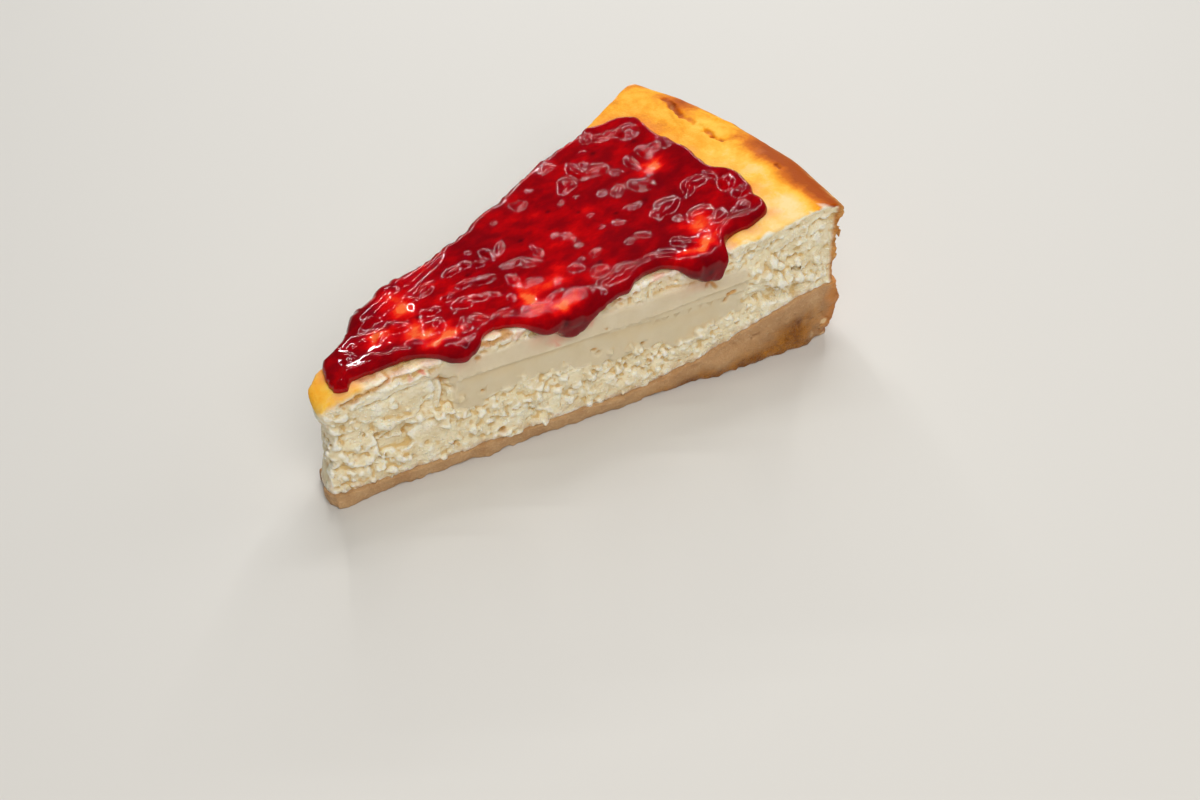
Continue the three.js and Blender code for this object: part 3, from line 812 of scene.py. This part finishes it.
def jam_depth(x, w):
    """The jam's depth with its lumps, and without them."""
    p = [x, w, np.zeros_like(x)]
    depth = JAM_DEPTH + 0.3 * noise(p, 13.0, 131) + 0.08 * noise(p, 5.0, 132)
    thin = 1
    warped_x = x + 1.6 * noise(p, 4.0, 133) + 0.6 * noise(p, 1.8, 134)
    warped_w = w + 1.4 * noise(p, 4.0, 135) + 0.6 * noise(p, 1.8, 136)
    for *oval, share in THIN_SPOTS:
        a, b = oval_place(warped_x, warped_w, *oval)
        thin = thin * (1 - share * np.exp(-(a * a + b * b)))
    past = np.abs(w) - edge_beside(x, w)
    body = depth * thin + 0.5 * smooth(past, -2, 3)
    far_bulge = line_through(FAR_BULGE, x) * smooth(past, -4, 0.6) * smooth(w, 0, 2)
    height = depth * (0.8 + 0.2 * thin) + 0.5 * smooth(past, -2, 3) + far_bulge
    return height + jam_lumps(x, w) * (1 - 0.35 * smooth(past, 0, 3)), body


def crowded(count, edge_rows, edge_width):
    """Shares from 0 to 1 that lie close together at both ends."""
    rows = edge_width * (np.arange(edge_rows) / edge_rows) ** 1.5
    inner = np.linspace(edge_width, 1 - edge_width, count - 2 * edge_rows)
    return np.concatenate([rows, inner, 1 - rows[::-1]])


def jam_sheet(columns, rows):
    """A closed sheet: its upper side, and a lower one that dips into the cheese."""
    along, across = np.meshgrid(crowded(columns, 8, 0.018), crowded(rows, 9, 0.05), indexing="ij")
    x, w = jam_plan(along, 2 * across - 1)
    plan = np.stack([x.ravel(), w.ravel()], -1)
    rim = np.ones(x.shape, bool)
    rim[1:-1, 1:-1] = False
    outline = np.concatenate([jam_outline(RIM_POINTS), plan[rim.ravel()]])
    to_rim = distances(plan, outline).reshape(x.shape)
    to_rim[rim] = 0
    depth, body = jam_depth(x.ravel(), w.ravel())
    depth, body = depth.reshape(x.shape), body.reshape(x.shape)
    uneven = noise([x, w, np.zeros_like(x)], 3.6, 137)
    inwards = np.clip(to_rim / (JAM_RIM + 0.35 * uneven), 0, 1)
    lift = depth * np.sqrt(1 - (1 - inwards) ** 2) ** 1.1
    past = np.abs(w) - edge_beside(x, w)
    sunk = -0.3 - 1.0 * smooth(past, -1, 1.5)
    upper = on_folded_surface(x.ravel(), w.ravel(), lerp(sunk, lift, np.where(rim, 0, 1)).ravel())
    lower = on_folded_surface(x.ravel(), w.ravel(), sunk.ravel())
    inner = ~rim
    number = np.arange(x.size).reshape(x.shape)
    below = number.copy()
    below[inner] = x.size + np.arange(inner.sum())
    points = np.concatenate([upper, lower[inner.ravel()]])
    quads = np.concatenate([quads_of(number), quads_of(below)[:, ::-1]])
    seeds = seed_mask(x, w)
    masks = {
        "depth": np.concatenate([body.ravel(), body[inner]]),
        "seeds": np.concatenate([seeds.ravel(), seeds[inner]]),
    }
    return points, quads, masks


def seed_mask(x, w):
    seeds = np.zeros_like(x)
    for seed_x, seed_w in SEEDS:
        seeds += np.exp(-(((x - seed_x) / 0.75) ** 2) - ((w - seed_w) / 0.55) ** 2)
    return seeds


def quads_of(number):
    """Faces of a grid of numbered points, facing up."""
    a, b = number[:-1, :-1], number[1:, :-1]
    c, d = number[1:, 1:], number[:-1, 1:]
    return np.stack([a, b, c, d], -1).reshape(-1, 4)


# Masks that the cheese's material reads


def cavity(points, triangles, quads):
    """How far each point lies below the mean of the surface around it, in millimetres."""
    here, there = edge_pairs(triangles, quads)
    count = np.bincount(here, minlength=len(points))
    around = points.astype(float)
    for _ in range(CAVITY_STEPS):
        sums = [np.bincount(here, around[there, axis], len(points)) for axis in range(3)]
        around = np.stack(sums, -1) / count[:, None]
    normal = np.zeros_like(around)
    for faces in (quads, triangles):
        a, b, c = (points[faces[:, i]] for i in range(3))
        across = np.cross(b - a, c - a)
        for corner in range(faces.shape[1]):
            for axis in range(3):
                normal[:, axis] += np.bincount(faces[:, corner], across[:, axis], len(points))
    normal /= np.linalg.norm(normal, axis=1, keepdims=True) + 1e-12
    return ((around - points) * normal).sum(-1)


def pit_shade_mask(x, z):
    """1 in the pits and in the thin cracks of the near cut, where shade is painted."""
    pits = np.zeros_like(x)
    for pit_x, pit_z, radius, _ in PITS:
        pits += 1 - smooth(np.hypot(x - pit_x, z - pit_z), 0.3 * radius, 1.3 * radius)
    for start, end, half_width, depth in STROKES:
        if depth > 0 and half_width < 0.4:
            pits += stroke_share(x, z, start, end, half_width + 0.2)
    return np.clip(pits, 0, 1)


def browning_mask(p):
    """How dark the skin is baked: pale by the near corner, dark on the near shoulder, with painted shade
    in the valleys of its folds.
    """
    x, y, _ = p
    shoulder = smooth(distance_to_wall(x, y) + 1.0 * noise(p, 3.0, 146), 10.5, 3.6)
    corner = smooth(-y, 12, 26) * smooth(x, 92, 108) * smooth(distance_to_wall(x, y), 7, 13)
    baked = lerp(0.08, 0.7, smooth(-y, -5, 13))
    browning = lerp(0.36, 0.25, smooth(-y, -14, 6)) + 0.09 * noise(p, 7.0, 142)
    browning = browning - 0.08 * smooth(x, 20, 8)
    browning = browning + baked * shoulder - 0.18 * corner
    patch = np.exp(-(((x - 123.5) / 3.4) ** 2) - ((y - 18.5) / 4.5) ** 2)
    # Painted shade: the valleys of the folds are painted browner.
    browning = browning + 0.34 * patch + 0.5 * np.clip(skin_folds(x, y), 0, 0.7)
    return np.clip(browning, 0, 1)


def stain_and_glow_mask(points, below_top, jam_rim):
    """Pink by the rim of the jam, partly a juice stain and partly a painted red glow from the
    translucent jam, and in its smears.
    """
    x, p, place = points[:, 0], list(points.T), unrolled(points)
    close = (below_top < 9) & (x < 118)
    to_jam = np.full(len(points), 9.0)
    to_jam[close] = distances(place[close], jam_rim)
    # Along the rim: partly a juice stain, partly a painted red glow of light through the jam.
    stain_and_glow = 0.8 * np.exp(-to_jam / 1.5) * smooth(noise(p, 3.4, 143), -0.5, 0.5)
    stain_x = place[:, 0] + 0.7 * noise(p, 1.8, 144)
    stain_w = place[:, 1] + 0.5 * noise(p, 1.8, 145)
    for spot_x, spot_w, half_length, half_width, strength in STAINS:
        away = np.hypot((stain_x - spot_x) / half_length, (stain_w - spot_w) / half_width)
        stain_and_glow = np.maximum(stain_and_glow, strength * (1 - smooth(away, 0.4, 1.3)) * (below_top < 9))
    return stain_and_glow


def filling_masks(points, jam_rim):
    x, y, z = p = list(points.T)
    filling = Filling()
    near, far = -filling.near(x, y), -filling.far(x, y, z)
    wall, tip = -filling.wall(x, y, z), -filling.tip(x, y)
    below_top = top_height(x, y) - z
    to_side = np.minimum(np.minimum(near, far), tip)
    band = np.where(near < far, knife_band(x, z, -1), knife_band(x, z, 1)) * (to_side < 1.5)
    # Painted shade: 1 where the surface lies sunk into a cut or the wall.
    hollow = smooth(np.minimum(to_side, wall), 1.2, 2.8) * smooth(below_top, 0.4, 1.2)
    ragged = 0.5 * noise(p, 2.4, 140) + 0.3 * noise(p, 1.0, 141)
    thick = 0.9 + 2.2 * smooth(x, 16, 6) + 3.0 * smooth(to_side, 1.2, 3.0)
    skin = (1 - smooth(below_top + ragged, 0.35, thick)) * (1 - 0.78 * peeled_edge(x, y))
    over_pastry = z - pastry_height(x)
    # The cheese is tinted tan in patches just above the pastry.
    tan_patches = smooth(noise(p, 1.3, 147) + 0.5 * noise(p, 0.7, 148), -0.3, 0.4)
    return {
        "satin": band,
        # Painted shade below the knife line, in the knife band.
        "shade_under_knife_line": band * smooth(line_through(KNIFE_LINE, x) - z, -0.2, 0.4),
        "hollow": hollow,
        "pits": pit_shade_mask(x, z) * (near < 3),
        "tan_above_pastry": smooth(over_pastry, 2.4, 0.2) * tan_patches,
        "skin": skin,
        "crust": 1 - smooth(wall + 0.5 * ragged, 0.9, 2.0),
        "browning": browning_mask(p),
        "stain_and_glow": stain_and_glow_mask(points, below_top, jam_rim),
    }


# Pastry


def pastry_field(x, y, z, shape):
    height = pastry_height(x)
    up = np.clip(z / height, 0, 1)
    along = np.clip(x / CORNER_X, 0, 1)
    across = np.clip(across_slice(x, y), -1, 1)
    chipped = PASTRY_CHIPPED * (1 - up) ** 2 * along**6
    near_ragged = PASTRY_RAGGED * plain_noise(x, -40, 6, 2)
    far_ragged = PASTRY_RAGGED * plain_noise(x, 40, 6, 2)
    near = -(y + cut_distance(x, -1) + PASTRY_STANDS_PROUD - near_ragged) * math.cos(HALF_ANGLE)
    far = (y - cut_distance(x, 1) - PASTRY_STANDS_PROUD + far_ragged) * math.cos(HALF_ANGLE)
    wall = np.hypot(x - APEX, y) - CAKE_RADIUS + chipped + CORNER_ROUNDING * across**8
    tip = TIP_BULGE * across**2 + TIP_SKEW * across - PASTRY_PROUD_AT_TIP - x
    plain = [np.broadcast_to(f, shape) for f in (near, far, wall, tip, z - height, -z)]
    values = np.maximum.reduce(plain).astype(np.float32)
    band = (values > -3.0) & (values < 1.2)
    x, y, z = p = [np.broadcast_to(c, shape)[band] for c in (x, y, z)]
    fields = [f[band].astype(np.float32) for f in plain]
    relief = pastry_relief(p)
    ragged = 0.8 + noise(p, 2.4, 204) + 0.6 * noise(p, 5.0, 208) + 0.6 * noise(p, 1.2, 209)
    foot = 0.55 * (1 - smooth(z, 0, 1.3)) * ragged
    calm = 0.4 + 0.6 * smooth(x, 1, 8)
    for index in range(4):
        fields[index] += (relief + foot) * calm
    spread = smooth(x, 8, 1) * smooth(z, 3, 0) * smooth(y, 0, -3)
    swollen = smooth(x, 86, 94) * smooth(x, 122, 114) * smooth(z, 8, 3)
    fields[0] -= 0.9 * spread + 1.3 * swollen
    fields[3] -= 0.3 * spread
    fields[3] += 1.5 * smooth(y, 0.5, 4.0) * smooth(x, 4, 0)
    fields[2] -= 1.9 * smooth(-y, 20, 31) * smooth(z, 15, 10)
    fields[4] += 0.12 + 0.12 * noise(p, 1.6, 205)
    values[band] = round_max(fields, PASTRY_ROUNDING)
    return values


def pastry_relief(p):
    """Fine short crumb, coarser and chipped at the foot of the outer wall."""
    x, _, z = p
    grain, own, _ = crumbs(p, (1.5, 1.3, 1.0), 201)
    chips, chip_own, _ = crumbs(p, (2.6, 2.4, 1.9), 211)
    loose = smooth(x, 112, 124) * smooth(z, 12, 7)
    lumps = 0.24 * noise(p, 3.2, 203) + 0.12 * noise(p, 1.6, 207)
    fine = 0.2 + lumps + 0.4 * own * grain**2 + 0.08 * noise(p, 0.8, 206)
    return fine + loose * (0.7 * chip_own + 0.8 * chips**2 - 0.25)


def pastry_masks(points):
    x, y, z = points.T
    p = [x, y, z]
    moist_top = line_through(MOIST_TOP, x) + 0.9 * noise(p, 4.0, 221)
    moist = smooth(moist_top - z, -1.4, 3.4) * smooth(x + 4 * noise(p, 6.0, 222), 68, 84)
    moist = moist * (1 - 0.55 * smooth(x, 112, 120))
    to_wall = CAKE_RADIUS - np.hypot(x - APEX, y)
    baked = smooth(to_wall + 1.2 * noise(p, 3.0, 223), 5.5, 0.8)
    chips, chip_own, _ = crumbs(p, (2.6, 2.4, 1.9), 211)
    light = smooth(x, 112, 122) * smooth(z, 12, 7) * smooth(chip_own, 0.72, 0.8)
    return {
        "moist": moist,
        "baked": baked,
        "chips": light * (1 - smooth(chips, 0.3, 0.5)),
        "thick": smooth(x + 3 * noise(p, 6.0, 224), 60, 78) * smooth(z - moist_top, -0.5, 1.5),
    }


# Materials


def colour(red, green, blue):
    """A colour as the photograph's display values, turned into light."""
    channels = [v / 255 for v in (red, green, blue)]
    return tuple(v / 12.92 if v < 0.04045 else ((v + 0.055) / 1.055) ** 2.4 for v in channels) + (1.0,)


class Shading:
    """A node material, built up from small steps."""

    def __init__(self, name):
        self.material = bpy.data.materials.new(name)
        self.material.use_nodes = True
        self.tree = self.material.node_tree
        self.shader = self.tree.nodes["Principled BSDF"]
        self.place = self.node("ShaderNodeTexCoord").outputs["Object"]

    def node(self, kind, inputs=None, **settings):
        made = self.tree.nodes.new(kind)
        for key, value in settings.items():
            setattr(made, key, value)
        for key, value in (inputs or {}).items():
            self.put(made.inputs[key], value)
        return made

    def put(self, socket, value):
        if isinstance(value, bpy.types.NodeSocket):
            self.tree.links.new(value, socket)
        else:
            socket.default_value = value

    def set(self, key, value):
        self.put(self.shader.inputs[key], value)

    def mask(self, name):
        return self.node("ShaderNodeAttribute", attribute_name=name).outputs["Fac"]

    def noise(self, size, detail=2.0, roughness=0.5, stretch=None):
        """Noise from 0 to 1 with hills about `size` millimetres wide."""
        place = self.place
        if stretch:
            scale = self.node("ShaderNodeMapping", {"Vector": place, "Scale": stretch})
            place = scale.outputs["Vector"]
        inputs = {"Vector": place, "Scale": 1 / (size * MM), "Detail": detail, "Roughness": roughness}
        return self.node("ShaderNodeTexNoise", inputs).outputs["Fac"]

    def cells(self, size):
        """Distance to the middle of the nearest of many grains, in their own size."""
        inputs = {"Vector": self.place, "Scale": 1 / (size * MM)}
        return self.node("ShaderNodeTexVoronoi", inputs).outputs["Distance"]

    def range(self, value, low, high, to_low=0.0, to_high=1.0):
        inputs = {
            "Value": value,
            "From Min": low,
            "From Max": high,
            "To Min": to_low,
            "To Max": to_high,
        }
        return self.node("ShaderNodeMapRange", inputs, interpolation_type="SMOOTHSTEP").outputs["Result"]

    def times(self, a, b):
        return self.node("ShaderNodeMath", {0: a, 1: b}, operation="MULTIPLY").outputs[0]

    def plus(self, a, b):
        return self.node("ShaderNodeMath", {0: a, 1: b}, operation="ADD").outputs[0]

    def blend(self, share, a, b):
        return self.node("ShaderNodeMix", {0: share, 6: a, 7: b}, data_type="RGBA").outputs[2]

    def mix(self, share, a, b):
        return self.node("ShaderNodeMix", {0: share, 2: a, 3: b}, data_type="FLOAT").outputs[0]

    def ramp(self, value, stops):
        """Blends through colours, given as display values at places from 0 to 1."""
        made = self.node("ShaderNodeValToRGB", {"Fac": value})
        elements = made.color_ramp.elements
        for index, (place, tint) in enumerate(stops):
            element = elements[index] if index < 2 else elements.new(place)
            element.position = place
            element.color = colour(*tint)
        return made.outputs["Color"]

    def soften(self, weight, radius, scale):
        self.set("Subsurface Weight", weight)
        self.set("Subsurface Radius", radius)
        self.set("Subsurface Scale", scale)

    def bump(self, height, distance, strength=1.0):
        inputs = {"Height": height, "Distance": distance * MM, "Strength": strength}
        self.set("Normal", self.node("ShaderNodeBump", inputs).outputs["Normal"])


def crumb_colour(s, satin, mottle, granules):
    """Torn cheese and the knife's smooth band, with painted highlight on crests and grain tops and
    painted shade in recesses, creases, pits and under the knife line.
    """
    crumb = s.ramp(mottle, [(0.3, (231, 214, 174)), (0.7, (250, 241, 213))])
    # Painted highlight: the crests of the relief are painted near white.
    crest_highlight = s.range(s.mask("cavity"), -0.03, -0.25)
    crumb = s.blend(s.times(crest_highlight, 0.75), crumb, colour(255, 251, 238))
    # Painted highlight: the tops of the bumped grains are painted near white in patches.
    specks = s.times(s.range(granules, 0.4, 0.9), s.range(s.noise(3.0, 3.0), 0.42, 0.6))
    crumb = s.blend(s.times(specks, 0.7), crumb, colour(255, 252, 238))
    smeared = s.ramp(mottle, [(0.3, (214, 199, 169)), (0.7, (224, 211, 184))])
    body = s.blend(satin, crumb, smeared)
    # Painted shade: the knife band below the knife line is painted darker.
    body = s.blend(s.times(s.mask("shade_under_knife_line"), 0.4), body, colour(214, 200, 166))
    # Painted shade: the recesses of the cut are painted a darker ochre.
    body = s.blend(s.times(s.mask("hollow"), 0.25), body, colour(212, 188, 134))
    # Tan in patches just above the pastry.
    body = s.blend(s.times(s.mask("tan_above_pastry"), 0.6), body, colour(206, 172, 130))
    # Painted shade: the creases of the relief are painted a darker yellow.
    crease_shade = s.range(s.mask("cavity"), 0.05, 0.22)
    body = s.blend(s.times(crease_shade, s.mix(satin, 0.65, 0.2)), body, colour(216, 176, 98))
    # Painted shade: the pits and thin cracks are painted dark ochre.
    return s.blend(s.times(s.mask("pits"), 0.75), body, colour(196, 138, 48))


def skin_colour(s):
    browning = s.plus(s.mask("browning"), s.range(s.noise(5.0, 6.0, 0.7), 0.3, 0.7, -0.1, 0.1))
    stops = [
        (0.03, (251, 215, 152)),
        (0.23, (251, 196, 76)),
        (0.4, (246, 166, 32)),
        (0.6, (208, 108, 8)),
        (0.85, (164, 72, 2)),
    ]
    return s.ramp(browning, stops)


def wall_colour(s):
    stops = [(0.3, (150, 88, 38)), (0.5, (196, 134, 70)), (0.72, (222, 172, 108))]
    return s.ramp(s.noise(3.0, 5.0, 0.65), stops)


def cheese_material():
    s = Shading("cheese")
    satin, skin = s.mask("satin"), s.mask("skin")
    granules = s.range(s.cells(0.8), 0.55, 0.1)
    body = crumb_colour(s, satin, s.noise(5.0, 4.0, 0.6), granules)
    body = s.blend(skin, body, skin_colour(s))
    body = s.blend(s.mask("crust"), body, wall_colour(s))
    # Jam stains, and a painted red glow along the rim of the jam.
    body = s.blend(s.times(s.mask("stain_and_glow"), 0.75), body, colour(224, 104, 84))
    s.set("Base Color", body)
    grain = s.noise(0.9, 3.0, 0.6)
    s.set("Roughness", s.mix(satin, 0.62, s.range(grain, 0.3, 0.7, 0.36, 0.48)))
    s.soften(0.45, (1.0, 0.85, 0.6), 0.0014)
    s.set("Specular IOR Level", 0.15)
    rough = s.times(s.mix(satin, 1.0, 0.07), s.mix(skin, 1.0, 0.15))
    grainy = s.times(granules, s.range(s.noise(3.0, 3.0), 0.3, 0.7, 0.1, 0.4))
    fine = s.plus(s.noise(1.2, 4.0, 0.7), grainy)
    s.bump(s.times(fine, rough), 0.6, 1.0)
    return s.material


def jam_material():
    s = Shading("jam")
    streaks = s.noise(5.0, 4.0, 0.6, (1.0, 1.6, 1.0))
    depth = s.plus(s.mask("depth"), s.range(streaks, 0.25, 0.75, -0.3, 0.5))
    share = s.range(depth, 0.2, 3.2)
    stops = [
        (0.02, (242, 108, 54)),
        (0.08, (234, 58, 26)),
        (0.2, (218, 14, 12)),
        (0.4, (174, 0, 7)),
        (0.62, (138, 0, 9)),
        (0.95, (102, 0, 9)),
    ]
    tint = s.ramp(share, stops)
    tint = s.blend(s.times(s.mask("seeds"), 0.75), tint, colour(52, 0, 8))
    s.set("Base Color", tint)
    s.set("Roughness", 0.025)
    s.set("IOR", 1.42)
    s.set("Specular IOR Level", 0.35)
    s.soften(0.25, (1.0, 0.1, 0.06), 0.0025)
    s.bump(s.noise(2.0, 1.0), 0.015, 1.0)
    return s.material


def pastry_material():
    s = Shading("pastry")
    grain = s.noise(0.8, 4.0, 0.65)
    mottle = s.noise(4.5, 4.0, 0.6)
    dough = s.ramp(mottle, [(0.3, (176, 134, 92)), (0.7, (200, 162, 118))])
    thick = s.ramp(mottle, [(0.3, (182, 138, 94)), (0.7, (198, 156, 112))])
    dough = s.blend(s.mask("thick"), dough, thick)
    dough = s.blend(s.times(s.range(grain, 0.5, 0.68), 0.45), dough, colour(214, 180, 140))
    # Painted shade: the recesses of the pastry are painted dark brown.
    dough = s.blend(s.times(s.range(s.mask("cavity"), 0.03, 0.2), 0.6), dough, colour(124, 80, 40))
    wet = s.ramp(s.noise(4.0, 4.0, 0.6), [(0.3, (104, 52, 0)), (0.65, (178, 114, 24))])
    moist = s.mask("moist")
    body = s.blend(moist, dough, wet)
    crust = s.ramp(mottle, [(0.3, (168, 98, 40)), (0.7, (212, 140, 66))])
    body = s.blend(s.times(s.mask("baked"), 0.85), body, crust)
    body = s.blend(s.mask("chips"), body, colour(232, 198, 148))
    s.set("Base Color", body)
    s.set("Roughness", s.mix(moist, 0.7, s.range(grain, 0.35, 0.6, 0.12, 0.4)))
    s.soften(0.08, (1.0, 0.6, 0.3), 0.0015)
    s.bump(s.plus(grain, s.noise(0.4, 2.0)), 0.3, 0.8)
    return s.material


def floor_material():
    s = Shading("floor")
    s.set("Base Color", colour(214, 212, 207))
    s.set("Roughness", 0.9)
    return s.material


# Stage


def add_floor():
    mesh = bpy.data.meshes.new("floor")
    sides = [(-1, -1), (1, -1), (1, 1), (-1, 1)]
    corners = [(x * FLOOR_HALF, y * FLOOR_HALF, 0) for x, y in sides]
    mesh.from_pydata(corners, [], [(0, 1, 2, 3)])
    mesh.materials.append(floor_material())
    floor = bpy.data.objects.new("floor", mesh)
    bpy.context.scene.collection.objects.link(floor)


def aim_at(thing, target):
    thing.rotation_euler = (target - thing.location).to_track_quat("-Z", "Y").to_euler()


def area_light(name, place, target, width, height, radiance, tint=(1, 1, 1)):
    light = bpy.data.lights.new(name, "AREA")
    light.shape = "RECTANGLE"
    light.size = width
    light.size_y = height
    light.energy = radiance * math.pi * width * height
    light.color = tint
    lamp = bpy.data.objects.new(name, light)
    lamp.location = place
    aim_at(lamp, target)
    bpy.context.scene.collection.objects.link(lamp)
    return lamp


def add_light_frame(frame_name, middle, half, bar, radiance):
    """Four bars of light that make a square, which the wet jam mirrors as small loops."""
    facing = (AIM - middle).to_track_quat("-Z", "Y")
    for name, side in [("left", (-1, 0)), ("right", (1, 0)), ("front", (0, -1)), ("back", (0, 1))]:
        offset = facing @ Vector((side[0] * half, side[1] * half, 0))
        size = (bar, 2 * half + bar) if side[0] else (2 * half - bar, bar)
        lamp = area_light(f"{frame_name}_{name}", middle + offset, AIM, *size, radiance)
        lamp.rotation_euler = facing.to_euler()


def add_lights():
    add_light_frame("above", Vector((0.105, 0.115, 0.58)), 0.075, 0.008, 42.0)
    add_light_frame("mirrored", Vector((0.345, 0.362, 0.477)), 0.215, 0.006, 95.0)
    front = area_light("front", Vector((-0.26, -0.55, 0.80)), AIM, 0.7, 0.7, 4.5, (1.0, 0.965, 0.92))
    low = area_light("low", Vector((-0.55, -0.75, 0.25)), AIM, 0.5, 0.3, 1.6, (1.0, 0.97, 0.93))
    side = area_light("side", Vector((0.8, -0.3, 0.5)), AIM, 0.4, 0.4, 1.5)
    for soft in (front, low, side):
        soft.visible_glossy = False
    world = bpy.data.worlds.new("studio")
    world.use_nodes = True
    sky = world.node_tree.nodes["Background"]
    sky.inputs["Color"].default_value = (1, 1, 1, 1)
    sky.inputs["Strength"].default_value = SKY_STRENGTH
    bpy.context.scene.world = world


def add_camera():
    camera = bpy.data.cameras.new("camera")
    camera.lens = LENS
    camera.sensor_width = SENSOR_WIDTH
    camera.clip_start = 0.01
    eye = bpy.data.objects.new("camera", camera)
    eye.location = CAMERA
    aim_at(eye, AIM)
    bpy.context.scene.collection.objects.link(eye)
    bpy.context.scene.camera = eye


# The scene


def add_filling():
    step = CHEESE_STEP
    points, triangles, quads = mesh_from_field(Filling(), *CHEESE_ROOM, step, CHEESE_MERGING)
    masks = filling_masks(points, jam_outline(COARSE_RIM_POINTS))
    masks["cavity"] = cavity(points, triangles, quads)
    return new_piece("cheese", points, triangles, quads, masks, cheese_material())


def add_jam():
    columns, rows = JAM_GRID
    points, quads, masks = jam_sheet(columns, rows)
    return new_piece("jam", points, np.zeros((0, 3), int), quads, masks, jam_material())


def add_pastry():
    step = PASTRY_STEP
    points, triangles, quads = mesh_from_field(pastry_field, *PASTRY_ROOM, step, PASTRY_MERGING)
    masks = pastry_masks(points)
    masks["cavity"] = cavity(points, triangles, quads)
    return new_piece("pastry", points, triangles, quads, masks, pastry_material())


def main():
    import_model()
    for add, node, slot in [
        (add_filling, "cheese_filling", "cheese"),
        (add_jam, "jam_topping", "jam"),
        (add_pastry, "pastry_base", "pastry"),
    ]:
        piece = add()
        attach(piece, "root")
        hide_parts(node)
    add_floor()
    add_lights()
    add_camera()
    bpy.context.scene.view_settings.view_transform = "Standard"


main()
